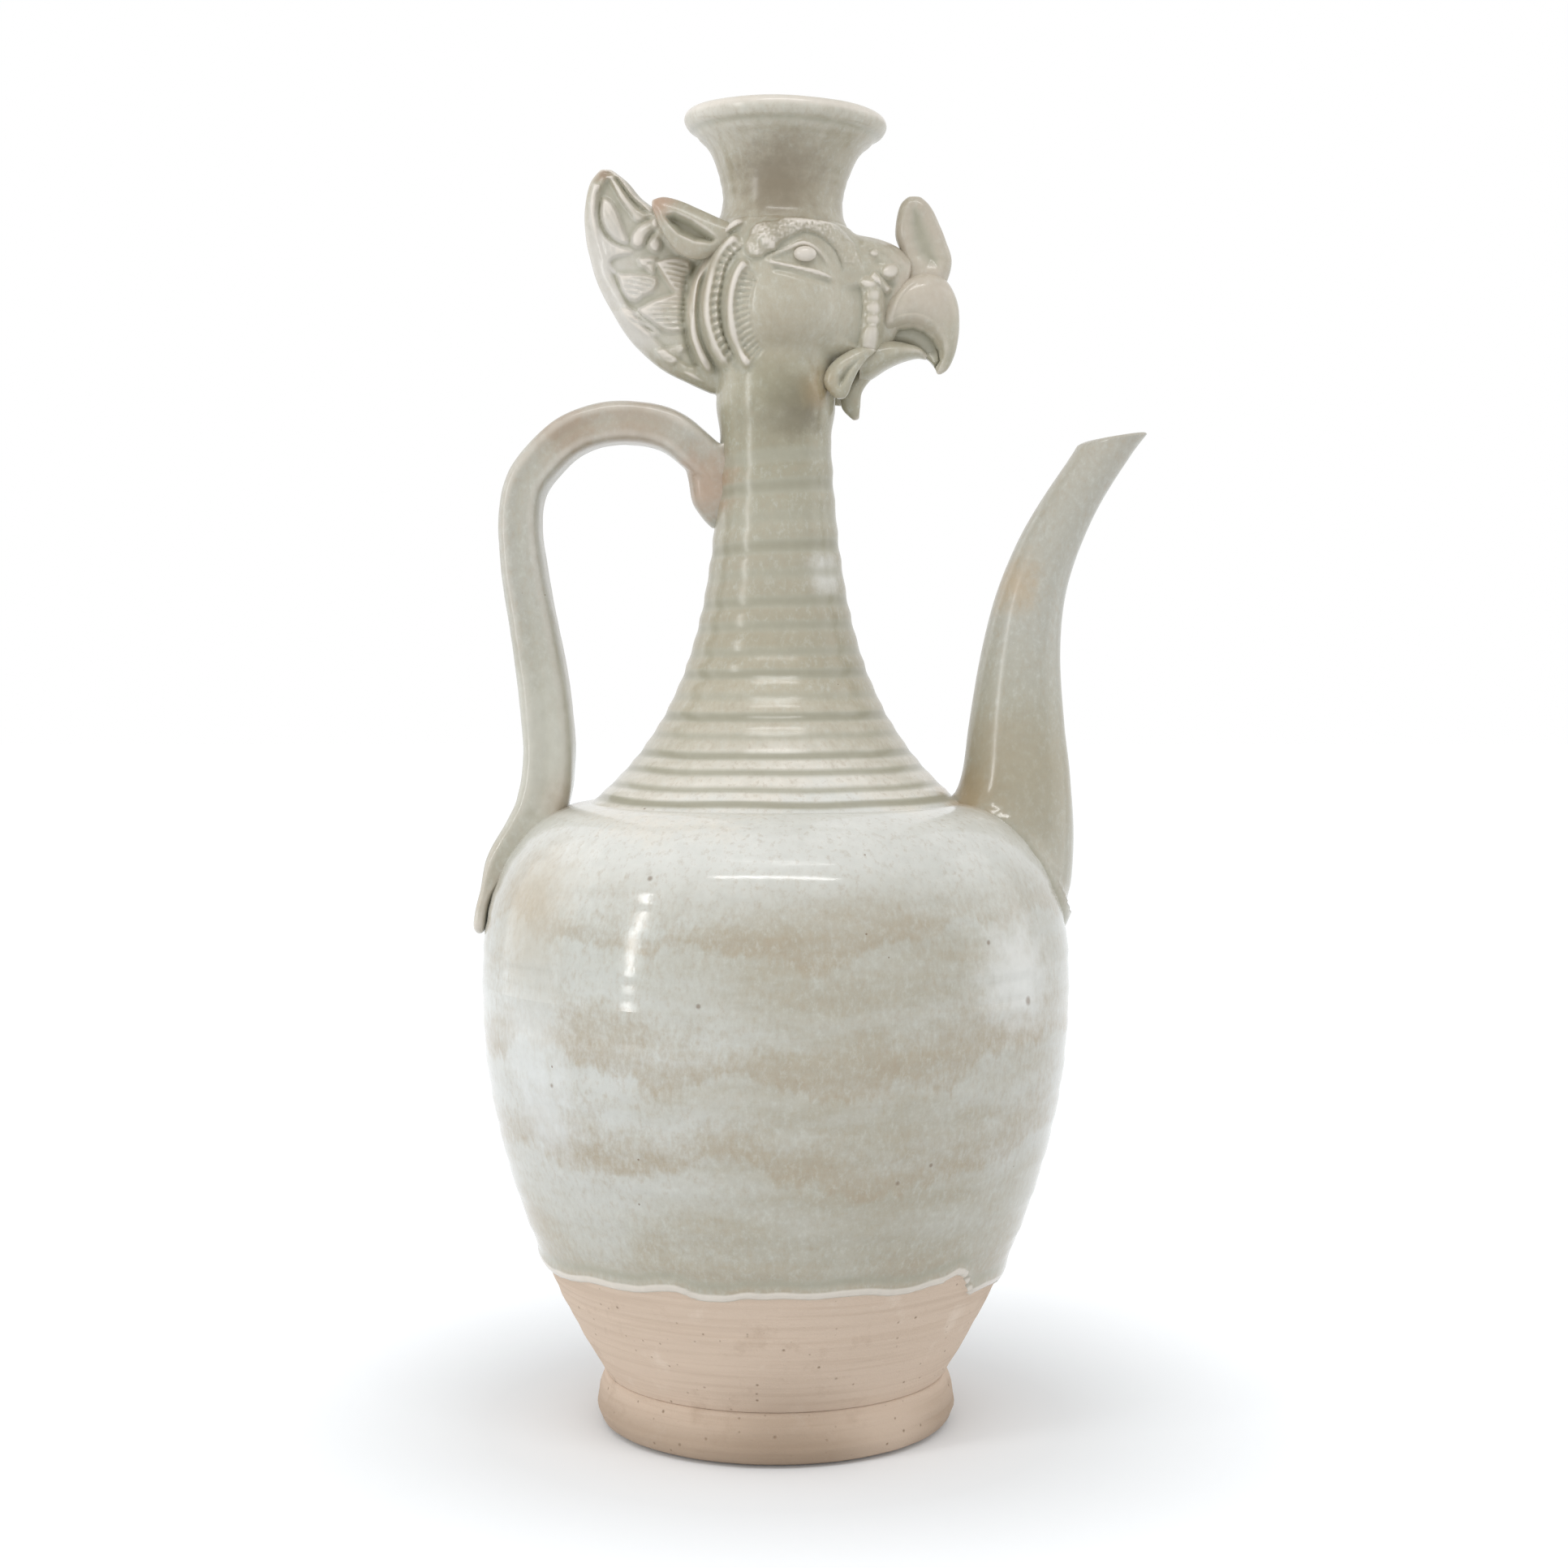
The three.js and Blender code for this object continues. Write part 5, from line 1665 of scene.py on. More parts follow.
@dataclass
class PhoenixHead:
    """The phoenix's head that the neck ends in, with its crest, beak, ears and wattles."""

    vessel: Vessel
    finish: Material
    globe_radius: float = 22.6
    globe_height: float = 29.0
    globe_crown: float = 24.0
    globe_wall: float = 6.0
    throat_radius: float = 17.3
    throat_bore: float = 11.0
    cup_joint: float = 51.3
    crown_radius: float = 18.8
    hood_centre: tuple[float, float, float] = (-8.0, 0.0, 28.0)
    hood_size: tuple[float, float, float] = (18.5, 17.0, 23.0)
    grain: float = 0.45
    fine_grain: float = 0.36
    # How much carved hollows darken: pooled glaze and painted shade.
    hollow_pool_and_shade: float = 0.2
    joint_fade: float = 6.0
    eye_centre: tuple[float, float, float] = (6.9, 20.9, 40.2)
    eye_size: tuple[float, float, float] = (3.2, 2.4, 2.15)

    face_chords = (
        (6, 47, 6, 12, 18), (14, 49.3, 14, 11.5, 16.2), (22, 49.2, 22, 11.8, 13.2),
        (28, 48.4, 28, 12.2, 10.6), (33, 46.6, 31.6, 15.6, 8.4), (38.4, 42.8, 34.5, 21, 6.2),
    )
    crest_chords = (
        (-13, -1.4, -6, 7, 2.6), (-15, 0.6, -10, 8, 3.4), (-24.6, 4.8, -9, 17, 5.2),
        (-33.6, 9, -9, 27, 6.4), (-42, 16.2, -10, 37, 7), (-48.6, 25.4, -13, 44.4, 6.8),
        (-53.6, 35.6, -21, 50, 6), (-56.5, 46.4, -32, 52.6, 5), (-56.8, 55, -40, 57, 4.1),
        (-55.6, 61.6, -44.8, 62, 3), (-52.8, 65.4, -49.4, 65.4, 1.3),
    )
    ruffs = (
        Ruff(((-10.5, 51.2), (-14.9, 48.6), (-18.3, 45.4), (-21.7, 39), (-24.7, 33.6), (-25.6, 28.2),
              (-25.6, 22.9), (-24.5, 16.7), (-22.1, 11.4), (-18.8, 6.6)), cape=2.6, barb_depth=0),
        Ruff(((-12, 46.4), (-16.4, 43.2), (-19.4, 38.7), (-20.9, 32.4), (-21.6, 26.2), (-21, 20),
              (-19, 14.3), (-16.1, 9.5), (-14.3, 6.9)), cape=5, shade=1.5, barb_pitch=2.6, barb_depth=0.8),
        Ruff(((-9.9, 39), (-12.5, 35.8), (-14.3, 30.4), (-14.8, 25.1), (-14.2, 19.8), (-12.7, 14.6),
              (-10.3, 10.2), (-7.5, 7.2)), cape=7, fade=5.5, shade=1, barb_pitch=2.1, barb_depth=0.6),
    )
    brow = Roll(((-6.6, 42), (-4.4, 44.4), (0.5, 46.8), (5.2, 49.2), (9.6, 49.2), (14, 47.4),
                 (17.6, 44.4), (19.8, 40.6), (20.8, 37), (20.8, 34)), half_width=3, height=2.1,
                stipple=0.55, knob=0.6, tapering=0.22)
    lids = (
        Roll(((-4.8, 38.3), (-1.4, 37.2), (3.6, 36.5), (9.2, 35.6), (16.2, 34)), 0.75, 0.75),
        Roll(((-4.6, 38.3), (1.4, 40.9), (6.6, 43.2), (11.2, 41), (14.4, 36.8)), 0.75, 0.7),
        Roll(((-3, 36), (1.5, 35.2), (8.8, 33.7), (15.5, 32.6)), 1.6, -0.7),
        Pellet((6.6, 39.2), 10.5, 4.6, -1.2, soft=True),
    )
    cheek = (
        Pellet((6, 22.5), 19, 17, 1.5, soft=True),
        Roll(((25, 35.8), (26.6, 31), (26.9, 27), (26.8, 23), (26.5, 19), (25.4, 13.8)), 3.2, 1.5),
        Pellet((25.4, 34.2), 2.5, 2.2, 0.9), Pellet((26.7, 30.5), 2.3, 2, 0.8),
        Pellet((26.9, 27), 2.5, 2, 0.9), Pellet((26.9, 23.7), 2.3, 1.8, 0.8),
        Pellet((26.3, 18.6), 2.8, 4.1, 1.2, turned=-12), Pellet((25.4, 13.6), 1.9, 1.7, 0.8),
        Roll(((21.4, 34), (22.2, 30.4), (22.6, 26), (22.3, 21.2), (20.8, 16)), 5.4, -1.3),
        Roll(((31.6, 37), (31.2, 33), (31, 27), (31, 20), (30.6, 13.6)), 3.4, -1.5),
        Roll(((25.8, 37), (28.8, 34.7), (31.6, 32.1)), 1.2, 1.6),
        Pellet((31.4, 38), 2.8, 2.1, 1.3, turned=35), Pellet((26.7, 43.1), 1.6, 1.3, 1),
        Pellet((27.5, 40.2), 2.6, 1.8, -0.7, soft=True),
        Roll(((22, 46), (26.5, 45.6), (31.5, 43.6), (35.6, 39.6)), 1.6, 0.6),
    )
    crest_field = Hollow((
        (-50.5, 63.5), (-54.6, 58), (-54.9, 51), (-53.4, 43), (-49, 34.5), (-44.8, 26.5),
        (-38.5, 18.8), (-32, 12.8), (-25.4, 8.6), (-21.6, 9.2), (-24.2, 16), (-26, 24),
        (-25.4, 33), (-22.4, 39.5), (-29, 42), (-34.5, 47), (-38, 53.8), (-43, 58.5),
        (-47, 63.5),
    ), depth=1.3, slope=1.6)
    leaves = (
        Leaf(((-50.6, 62.9), (-48.6, 60), (-46.5, 56.5), (-43.9, 53.1), (-41.5, 50.4), (-38.8, 51.3),
              (-37.9, 52.2), (-41.2, 54.1), (-44, 56.8), (-46.4, 59.9), (-49, 63.2)), lie=-50,
             strand_depth=0.15),
        Leaf(((-51.1, 65.2), (-47.5, 64.9), (-45, 61.3), (-41.8, 57.8), (-37.6, 54.8), (-37.6, 53.3),
              (-40.7, 55), (-43.6, 57.7), (-46, 60.8), (-48.7, 63.9)), lie=-50, strand_depth=0.15),
        Leaf(((-51.4, 56.9), (-52, 53.8), (-51.4, 49.7), (-49.5, 46.6), (-46.5, 44.4), (-44.1, 44.1),
              (-44.9, 46.7), (-46.3, 50.3), (-47.6, 53.2), (-49.3, 55.7)), lie=-60, strand_depth=0.2),
        Leaf(((-54.2, 60.7), (-54.9, 56.8), (-54.7, 51.4), (-53.7, 46.9), (-52.1, 41.9), (-49.5, 37.5),
              (-47.3, 35.5), (-49, 38.4), (-47.9, 39.8), (-45.5, 40.6), (-42.5, 41.4), (-46.2, 42.8),
              (-49.6, 44.8), (-52.1, 48.3), (-53, 52.4), (-52.6, 56.9), (-52.1, 60.1)), lie=-75,
             strand_depth=0.2),
        Leaf(((-36.2, 51), (-38.8, 50.4), (-41.4, 48.2), (-42.6, 45.8), (-42.3, 43.6), (-40.8, 43),
              (-39.4, 43.8), (-38.4, 46.1), (-35.8, 48.9)), lie=48, lift=2.3, strand_depth=0),
        Leaf(((-35.9, 47.3), (-37.2, 45.6), (-37.9, 43.7), (-37, 42.3), (-35.5, 41.8), (-34.4, 43.9),
              (-34.8, 46.2)), lie=70, lift=2.1, strand_depth=0),
        Leaf(((-40.6, 39.5), (-35.7, 39.9), (-35.8, 37.5), (-36.4, 35.3), (-38.4, 37.2), (-39.8, 37.8)),
             lie=0),
        Leaf(((-35.8, 38.6), (-32, 39.7), (-26, 39.5), (-26.6, 30.5), (-29.3, 30.1), (-31.2, 32.1),
              (-33.1, 34.8), (-34.6, 37)), lie=-8),
        Leaf(((-46.5, 35.1), (-41.4, 35), (-35.5, 34.3), (-35.1, 32.5), (-36.7, 30.2), (-38.9, 29.2),
              (-41.1, 27.7), (-43.4, 28.5), (-45.1, 30.7), (-46, 33.1)), lie=-12),
        Leaf(((-40.1, 25), (-35.3, 27.8), (-31, 29.3), (-29, 30.4), (-26.6, 30.5), (-26.3, 20.4),
              (-30.4, 19.2), (-34.1, 20.4), (-36.9, 22.3), (-39, 23.7)), lie=2),
        Leaf(((-45.3, 25.5), (-41.5, 24.9), (-38.3, 22.9), (-35.7, 21), (-34, 18.5), (-36.7, 17.7),
              (-39.7, 19), (-43, 21.4), (-44.8, 23.5)), lie=-25, lift=1.4),
        Leaf(((-34.8, 13.6), (-30.7, 14.6), (-26.5, 15.1), (-27.8, 12.5), (-29.7, 10), (-32.8, 10.8)),
             lie=0, lift=1.6, strand_depth=0.15),
        Leaf(((-26.4, 7.9), (-23.6, 7.4), (-20.7, 5.3), (-23.6, 5.7)), lie=-20, lift=1.1, strand_depth=0),
    )
    beak_chords = (
        (30, 32, 28.6, 20, 6.4), (32.6, 33.4, 31.2, 20.4, 8.4), (36.6, 37.2, 34.6, 22.2, 9.4),
        (41, 39.2, 38.6, 23, 9.2), (45.6, 38.8, 42, 22.2, 8.2), (49.2, 35.6, 44.6, 20.6, 6.8),
        (51.8, 29.4, 46.8, 17.6, 5), (52.2, 22.4, 47.2, 15.2, 3.6), (51.2, 16, 46.6, 13, 2.4),
        (49.2, 11.6, 46, 11.2, 1.3), (47.4, 10.2, 46.2, 10.2, 0.5),
    )
    palate_chords = (
        (30, 26, 30, 18.2, 4.6), (38, 27, 38, 17.2, 4.6), (42, 26, 41.6, 15.4, 3.6),
        (46.4, 23, 44.4, 13.4, 2.2), (48.4, 17.6, 45.6, 11.6, 1),
    )
    beak_edges = (
        Roll(((39.2, 36.9), (35.8, 34.4), (33, 30.1), (31.8, 25.1), (32, 21.8)), 1.5, 0.7),
        Roll(((32.2, 22.6), (34.6, 24), (38.8, 24.9), (42.4, 24), (45.6, 21.8), (48, 18),
              (48.4, 13.6)), 1.6, 0.6, tapering=0.2),
        Hollow(((31, 19.4), (32.6, 21.4), (34.6, 22.7), (38.8, 23.4), (42.2, 22.4), (45.2, 20.1),
                (46.8, 17.2), (47.2, 14), (45.4, 11.6), (42.6, 13.6), (40, 15.6), (36.4, 16.6),
                (32, 17)), depth=2.2, slope=0.8),
    )
    jaw_chords = (
        (24, 19.6, 23.5, 6.8, 8), (27, 19.6, 26.5, 7.6, 8), (31.6, 19.6, 31.6, 11, 7.4),
        (36.4, 19, 36.6, 13.5, 6.2), (40.8, 17.8, 40.6, 14.6, 4.4), (43.3, 15.9, 43.1, 14.3, 1.4),
    )
    comb_chords = (
        (34.5, 36, 46.4, 33, 4.2), (35.5, 39, 47.4, 35, 4.4), (34.6, 44.5, 49.4, 42.6, 4.6),
        (32.8, 49.2, 47.4, 48.4, 4.5), (32.9, 54.4, 45, 54, 4.1), (34.2, 58.8, 42.4, 58.4, 3.2),
        (36, 60.8, 39.8, 60.8, 1.6),
    )
    comb_scoop = Hollow((
        (35.2, 58.6), (34.2, 52.6), (34.8, 47), (37.4, 42), (41.4, 38.6), (46.6, 38.4), (48.2, 42.6),
        (46.6, 47.6), (44.4, 52.8), (41.8, 57.2), (38.8, 59.8),
    ), depth=2, slope=5.5)
    beard_chords = (
        (26, 17, 32, 14.2, 3.6), (26, 15, 32, 12.2, 3.6), (21.4, 8.4, 27.4, 8.2, 3.4),
        (18.6, 2.8, 24.8, 4.2, 2.8), (19.4, -0.8, 24.5, 0.2, 2.2), (22.6, -3.8, 24.3, -3.4, 0.8),
    )
    wattle_chords = (
        (24, 16.8, 28.6, 15.6, 2.2, -8), (20.2, 15, 25.8, 13, 2.8, -9.2), (16.4, 12.2, 24, 10.4, 3, -10),
        (13.9, 8.8, 22.6, 7.8, 3, -10.4), (13.3, 6, 21.5, 5.1, 2.8, -10.4),
        (14.6, 3.5, 20.8, 2.9, 2.2, -10.3), (16.9, 1.3, 19.6, 1.2, 1.2, -10.2),
    )
    wattle_fold = Hollow((
        (27.6, 15.6), (22.8, 13), (19, 10.4), (16.8, 7.4), (16.8, 4.6), (18.4, 3.4), (20.2, 5.6),
        (21.6, 8.6), (23.6, 11.6), (26.6, 14.2),
    ), depth=2.4, slope=2.6)
    ear_chords = (
        (-36.8, 54.9, -36.8, 52.6, 1.4, -13.6), (-33.6, 55.9, -33.4, 45.6, 3.1, -13.6),
        (-28.4, 54.8, -29.2, 40.6, 3.8, -13.6), (-22.4, 52.4, -23.6, 38.6, 4, -13.4),
        (-15, 49.6, -17, 41, 3.8, -13), (-11, 48, -12, 42.6, 3, -12.6),
    )
    ear_hollow = Hollow((
        (-34, 50.6), (-30.2, 51.6), (-25.2, 49.6), (-20.4, 46.6), (-17.2, 44), (-19.4, 42.4),
        (-24.4, 42.8), (-29.2, 44.8), (-32.2, 47.6),
    ), depth=3.4, slope=2.4)

    def globe_outline(self, z: float) -> float:
        """Work out the radius of the globe and the throat.

        Args:
            z: height above the neck's top.

        Returns:
            The radius.
        """
        up = z - self.globe_height
        if up > 0:
            crown = math.sqrt(1 - min(1.0, up / self.globe_crown) ** 2.5)
            return self.throat_radius + (self.globe_radius - self.throat_radius) * crown
        ball = math.sqrt(max(0.0, self.globe_radius ** 2 - up * up))
        return max(ball, self.vessel.collar_radius)

    @property
    def place(self) -> Matrix:
        """Where the head's frame stands in the vessel's."""
        lean = Matrix.Rotation(math.radians(self.vessel.head_lean), 4, "Y")
        return Matrix.Translation((0, 0, self.vessel.neck_top)) @ lean

    def head_skin(self) -> Skin:
        """Fuse the head, the hood and the crest, before their relief.

        Returns:
            The skin.
        """
        shape = bmesh.new()
        heights = np.linspace(-4.0, 57.0, 62)
        outline = [(self.globe_outline(z), z) for z in heights]
        outline[:4] = [(float(self.vessel.neck_radius(self.vessel.neck_top + z)), z) for z in heights[:4]]
        turn(shape, [(0.0, heights[0]), *outline, (0.0, heights[-1])], 96)
        hood = Matrix.Translation(self.hood_centre) @ Matrix.Diagonal((*self.hood_size, 1.0))
        bmesh.ops.create_icosphere(shape, subdivisions=5, radius=1.0, matrix=hood)
        loft(shape, chord_rings(self.face_chords, 30, 48, 2.4))
        rounded = Skin(shape).fuse(0.8, 14).mesh
        joined = bmesh.new()
        joined.from_mesh(rounded)
        loft(joined, chord_rings(self.crest_chords, 60, 48, 2.5))
        return Skin(joined).fuse(self.grain, 9)

    def free_to_carve(self, places: Array) -> Array:
        """Hold the head's bore and its joints with the neck and the cup.

        Args:
            places: places in mm, one a row.

        Returns:
            1 where it is free, 0 where it is held.
        """
        radius = from_axis(places)
        low = smoothstep(0.3, self.joint_fade, places[:, 2])
        high = 1 - smoothstep(self.cup_joint - 1.8, self.cup_joint - 0.2, places[:, 2])
        outlines = np.array([self.bore_outline(z) for z in places[:, 2]])
        return np.where(radius < self.globe_radius * 1.2, low * high, low) * (radius > outlines + 1.0)

    def bore_outline(self, z: float) -> float:
        """Radius of the way through the head at a height."""
        return max(self.globe_outline(z) - self.globe_wall, self.throat_bore)

    def true_joints(self, skin: Skin) -> None:
        """Bring the skin to the neck's radius at its foot, and to the cup's at its crown.

        Args:
            skin: the head's skin.
        """
        places = skin.places
        radius = from_axis(places)
        joints = (
            (self.vessel.collar_radius, 1 - smoothstep(0.3, self.joint_fade, places[:, 2])),
            (self.crown_radius, smoothstep(self.cup_joint - 1.2, self.cup_joint - 0.1, places[:, 2])))
        wanted = radius.copy()
        for target, share in joints:
            near = 1 - smoothstep(1.0, 2.2, np.abs(radius - target))
            wanted += (target - radius) * share * near
        scale = wanted / np.maximum(radius, 1e-6)
        skin.places = widened(places, scale)

    def head(self) -> None:
        """Build the head with its ruffs, brows, lids, pellets and crest feathers."""
        skin = self.head_skin()
        bore = [(self.bore_outline(z), z) for z in np.linspace(0, self.cup_joint, 14)]
        clear = self.globe_radius + 10
        above = self.throat_radius + 3.2
        skin.cut_turned([(0.0, -8.0), (clear, -8.0), (clear, 0.0), *bore, (above, self.cup_joint),
                         (above, self.cup_joint + 10), (0.0, self.cup_joint + 10)])
        free = self.free_to_carve(skin.places)
        skin.carve([Plumage(self.crest_field, self.leaves)], 0.35, free)
        skin.carve([*self.ruffs, self.brow, *self.lids, *self.cheek], free=free)
        skin.raise_by(0.16 * unevenness(skin.places, 7.0) * free)
        skin.soften(2, free)
        self.true_joints(skin)
        # Hollows of the head darken: pooled glaze and painted shade.
        depth = 0.9 * skin.hollowness(24) + 0.6 * skin.hollowness(140)
        skin.mark("pool_and_shade", depth * free)
        carved = [f"{name}_{side}" for side in ("left", "right") for name in (
            "eyelids", "brow", "bead_row", "nostril", "ruff_outer", "ruff_middle", "ruff_inner")]
        skin.piece("phoenix_head", self.finish, ["head", "crest", *carved], place=self.place)

    def solid(self, name: str, lofts: Sequence[Sequence[Array]], reliefs: Sequence[Relief],
              stands_for: Sequence[str]) -> None:
        """Build a piece of the head that lies on its middle plane.

        Args:
            name: the piece's name.
            lofts: rings of each form that it is made of.
            reliefs: what is carved on it.
            stands_for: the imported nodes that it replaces.
        """
        shape = bmesh.new()
        for rings in lofts:
            loft(shape, rings)
        skin = Skin(shape).fuse(self.fine_grain, 4)
        sunk = np.zeros(len(skin.places))
        for form in reliefs:
            lift = form.relief(skin.places[:, 0], skin.places[:, 2])
            # Carved hollows, such as the beak's recess, darken further: painted shade, with pooled glaze.
            sunk -= self.hollow_pool_and_shade * np.minimum(lift, 0)
        skin.carve(reliefs)
        skin.raise_by(0.12 * unevenness(skin.places, 5.0))
        skin.soften(2)
        skin.mark("pool_and_shade", sunk + 0.8 * skin.hollowness(30) + 0.5 * skin.hollowness(140))
        skin.piece(name, self.finish, stands_for, place=self.place)

    def pair(self, name: str, rings: Sequence[Array], relief: Relief, node: str) -> None:
        """Build a piece on each side of the head, with its relief on the outer face.

        Args:
            name: the pieces' name, without the side.
            rings: rings of the left piece.
            relief: what is carved on the outer face.
            node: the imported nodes' name, without the side.
        """
        shape = bmesh.new()
        loft(shape, rings)
        skin = Skin(shape).fuse(self.fine_grain, 4)
        places = skin.places
        outer = smoothstep(0.1, 0.5, -skin.outwards[:, 1])
        sunk = relief.relief(places[:, 0], places[:, 2]) * outer
        places[:, 1] -= sunk
        skin.places = places
        skin.raise_by(0.12 * unevenness(skin.places, 5.0))
        skin.soften(4)
        # The carved hollow darkens further: painted shade, with pooled glaze.
        gathered_and_shaded = -self.hollow_pool_and_shade * np.minimum(sunk, 0)
        skin.mark("pool_and_shade", gathered_and_shaded + 0.8 * skin.hollowness(30) + 0.5 * skin.hollowness(120))
        other = skin.mirrored()
        skin.piece(f"{name}_left_side", self.finish, [f"{node}_left"], place=self.place)
        other.piece(f"{name}_right_side", self.finish, [f"{node}_right"], place=self.place)

    def eyes(self) -> None:
        """Build the two eyeballs."""
        for side, name in ((-1, "left"), (1, "right")):
            shape = bmesh.new()
            along, out, up = self.eye_centre
            size = Matrix.Translation((along, side * out, up)) @ Matrix.Diagonal((*self.eye_size, 1.0))
            bmesh.ops.create_icosphere(shape, subdivisions=4, radius=1.0, matrix=size)
            skin = Skin(shape)
            skin.mark("pool_and_shade", np.full(len(skin.places), -0.5))
            skin.piece(f"eyeball_{name}", self.finish, [f"eye_{name}"], place=self.place)

    def build(self) -> None:
        """Build every piece of the head."""
        self.head()
        self.eyes()
        beak = [chord_rings(self.beak_chords, 60, 40, 2.2), chord_rings(self.palate_chords, 30)]
        self.solid("hooked_beak", beak, self.beak_edges, ["upper_beak"])
        self.solid("jaw", [chord_rings(self.jaw_chords, 40)], [], ["lower_beak"])
        comb = [chord_rings(self.comb_chords, 40, 40, 2.4)]
        self.solid("comb", comb, [self.comb_scoop], ["beak_comb"])
        self.solid("chin_beard", [chord_rings(self.beard_chords, 40)], [], ["beard"])
        self.pair("ear_shell", chord_rings(self.ear_chords, 40), self.ear_hollow, "ear")
        self.pair("wattle_fold", chord_rings(self.wattle_chords, 40), self.wattle_fold, "wattle")


@dataclass
class MouthCup:
    """The dished mouth above the head."""

    head: PhoenixHead
    finish: Material
    stations: tuple[Place, ...] = (
        (18.8, 51.3), (17.7, 53.8), (17.3, 57.9), (17.9, 62.3), (19.2, 66.4), (20.7, 70.3), (21.9, 72.3),
        (24.9, 75.2), (27.9, 77.6), (29.1, 80), (28.5, 81.8), (27.1, 82.6), (25.1, 81.6), (22.1, 76.6),
        (17.3, 69.3), (12.5, 62.3), (12, 51.3),
    )
    outer_stations: int = 10
    lip_height: float = 81.2
    grooves: tuple[tuple[float, float], ...] = (
        (76.4, 0.45), (73.6, 0.12), (64.6, 0.1), (61.4, 0.12), (58.2, 0.08),
    )

    def build(self) -> None:
        """Build the cup."""
        shape = bmesh.new()
        turn(shape, SmoothLine(self.stations).spread(110), 160)
        skin = Skin(shape)
        places = skin.places
        radius = from_axis(places)
        rows = SmoothLine(self.stations[:self.outer_stations]).spread(60)
        outer = radius > np.interp(places[:, 2], rows[:, 1], rows[:, 0]) - 1.5
        grooves = sum(depth * bump(places[:, 2], height, 0.9) for height, depth in self.grooves) * outer
        above_joint = smoothstep(53, 58, places[:, 2])
        skin.raise_by(0.14 * unevenness(places * (0.6, 0.6, 1.6), 8.0) * above_joint - grooves)
        # Darker in the grooves, from pooled glaze and painted shade; lighter on the thin-glazed lip.
        skin.mark("pool_and_shade", 0.9 * grooves - 0.45 * bump(places[:, 2], self.lip_height, 1.4))
        skin.piece("dished_mouth", self.finish, ["mouth_cup"], place=self.head.place)


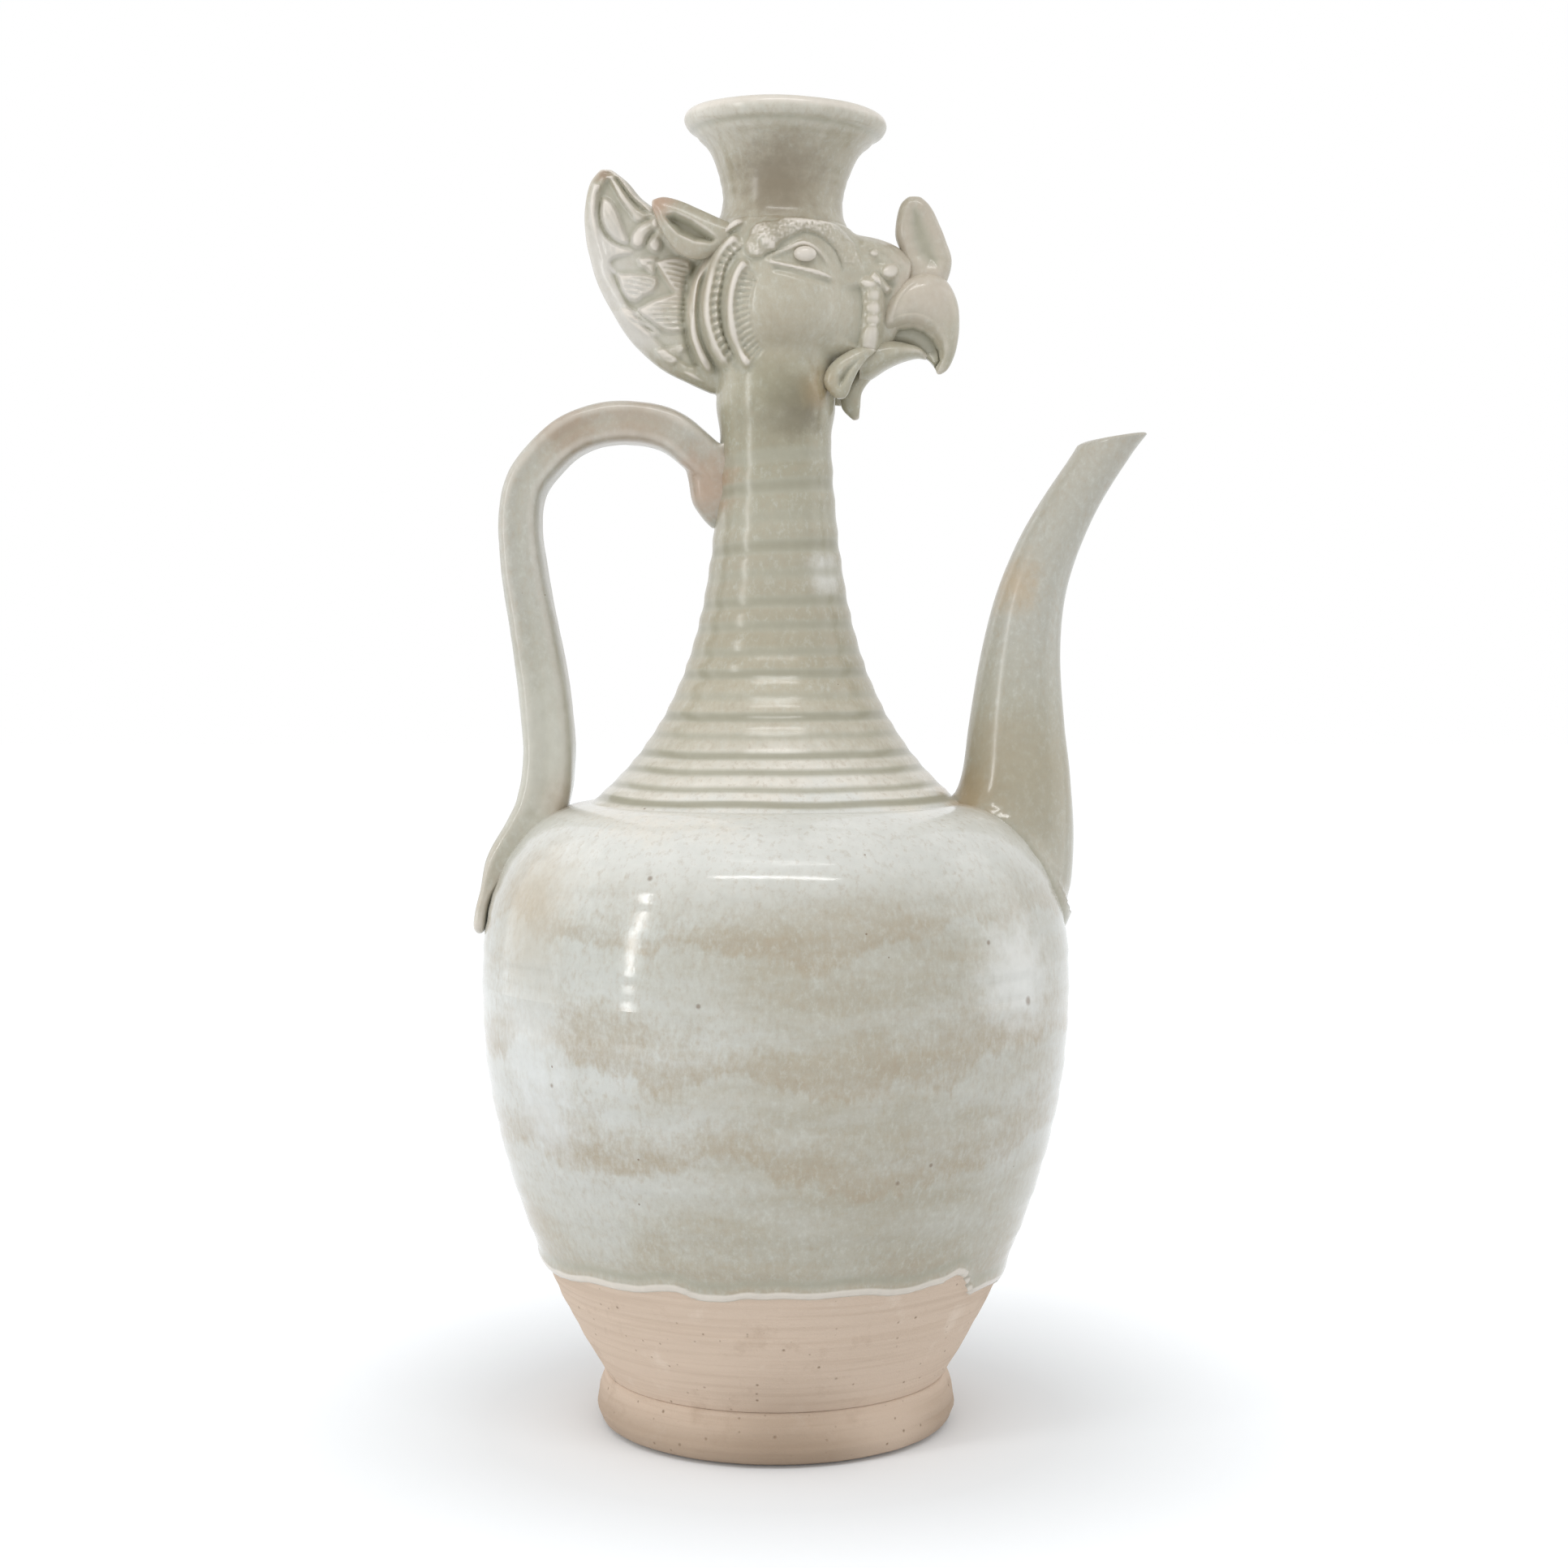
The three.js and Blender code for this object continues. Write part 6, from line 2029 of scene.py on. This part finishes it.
@dataclass
class Studio:
    """Floor, lights and camera."""

    distance: float = 739 * MM
    eye_height: float = 221.8 * MM
    side_step: float = 2.4 * MM
    pitch: float = math.radians(2.76)
    focal_px: float = 3130.0
    frame_px: float = 1932.0
    world_level: float = 0.74
    floor_size: float = 6.0
    aim: tuple[float, float, float] = (0.0, 0.0, 0.16)
    lamps: tuple[tuple[str, tuple[float, float, float], tuple[float, float], float], ...] = (
        ("side_window", (-1.12, -0.78, 0.45), (0.075, 0.85), 3.1),
        ("overhead", (0.0, -0.68, 1.2), (0.9, 0.1), 3.3),
        ("left_fill", (-1.1, 0.35, 0.5), (0.9, 1.1), 2.1),
        ("right_fill", (1.2, 0.1, 0.5), (0.9, 1.1), 2.0),
    )

    def camera(self) -> None:
        """Place the camera at the photograph's viewing angle."""
        data = bpy.data.cameras.new("camera")
        data.sensor_width = 36.0
        data.lens = 36.0 * self.focal_px / self.frame_px
        data.clip_start = 0.01
        camera = bpy.data.objects.new("camera", data)
        camera.location = (self.side_step, -self.distance, self.eye_height)
        camera.rotation_euler = (math.pi / 2 - self.pitch, 0.0, 0.0)
        link(camera)
        bpy.context.scene.camera = camera

    @staticmethod
    def _seen_directly(add: Adder) -> Socket:
        """Tell what the camera, a gloss or a clear piece sees from the light on the object.

        Args:
            add: adds one node.

        Returns:
            1 for what is seen, 0 for light on the object.
        """
        path = add("LightPath")
        first = add(
            "Math", links={0: path.outputs["Is Camera Ray"], 1: path.outputs["Is Glossy Ray"]},
            operation="MAXIMUM")
        both = add("Math", links={0: first, 1: path.outputs["Is Transmission Ray"]}, operation="MAXIMUM")
        return both.outputs[0]

    def floor(self) -> None:
        """Lay a white floor that keeps the object's soft shadow, and glows less close to the foot: a
        painted shadow round it.
        """
        shape = bmesh.new()
        bmesh.ops.create_grid(shape, x_segments=1, y_segments=1, size=self.floor_size)
        mesh = bpy.data.meshes.new("floor")
        shape.to_mesh(mesh)
        shape.free()
        paper = bpy.data.materials.new("white_paper")
        paper.use_nodes = True
        tree = paper.node_tree
        add = partial(add_node, tree)
        shader = tree.nodes["Principled BSDF"]
        shader.inputs["Base Color"].default_value = linear("eff2f5")
        shader.inputs["Roughness"].default_value = 0.9
        shader.inputs["Specular IOR Level"].default_value = 0.0
        shader.inputs["Emission Color"].default_value = (1, 1, 1, 1)
        origin = add("TexCoord")
        away = add("VectorMath", links={0: origin.outputs["Object"]}, operation="LENGTH")
        # Painted shadow: the glow is least within 85 mm of the middle and rises out to 180 mm.
        near = add(
            "MapRange", {"From Min": 0.085, "From Max": 0.18, "To Min": 0.045, "To Max": 0.28},
            {"Value": away.outputs["Value"]})
        far = add(
            "MapRange", {"From Min": 0.18, "From Max": 1.0, "To Max": 0.13},
            {"Value": away.outputs["Value"]})
        level = add("Math", links={0: near, 1: far}, operation="ADD")
        glow = add("Math", links={0: self._seen_directly(add), 1: level}, operation="MULTIPLY")
        tree.links.new(glow.outputs[0], shader.inputs["Emission Strength"])
        floor = bpy.data.objects.new("floor", mesh)
        mesh.materials.append(paper)
        link(floor)

    def lights(self) -> None:
        """Light the world evenly, show it white, and hang soft lamps."""
        world = bpy.data.worlds.new("studio")
        bpy.context.scene.world = world
        world.use_nodes = True
        tree = world.node_tree
        add = partial(add_node, tree)
        background = tree.nodes["Background"]
        background.inputs["Color"].default_value = (1, 1, 1, 1)
        level = add(
            "MapRange", {"To Min": self.world_level, "To Max": 1.0}, {"Value": self._seen_directly(add)})
        tree.links.new(level.outputs[0], background.inputs["Strength"])
        for name, place, size, power in self.lamps:
            data = bpy.data.lights.new(name, "AREA")
            data.shape = "RECTANGLE"
            data.size, data.size_y = size
            data.energy = power
            lamp = bpy.data.objects.new(name, data)
            lamp.location = place
            aim = Vector(self.aim) - Vector(place)
            lamp.rotation_euler = aim.to_track_quat("-Z", "Y").to_euler()
            link(lamp)


def main() -> None:
    """Build the scene in order."""
    logging.basicConfig(level=logging.INFO, format="%(name)s: %(message)s")
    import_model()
    studio = Studio()
    studio.camera()
    studio.floor()
    studio.lights()
    vessel = Vessel()
    glazed, luted, dipped, bare = (make_finish(surface, vessel) for surface in Surface)
    vessel.build(glazed, dipped, bare)
    Spout(vessel, luted).build()
    Handle(vessel, luted).build()
    head = PhoenixHead(vessel, glazed)
    head.build()
    MouthCup(head, glazed).build()
    bpy.context.scene.view_settings.view_transform = "Standard"


if __name__ == "__main__":
    main()
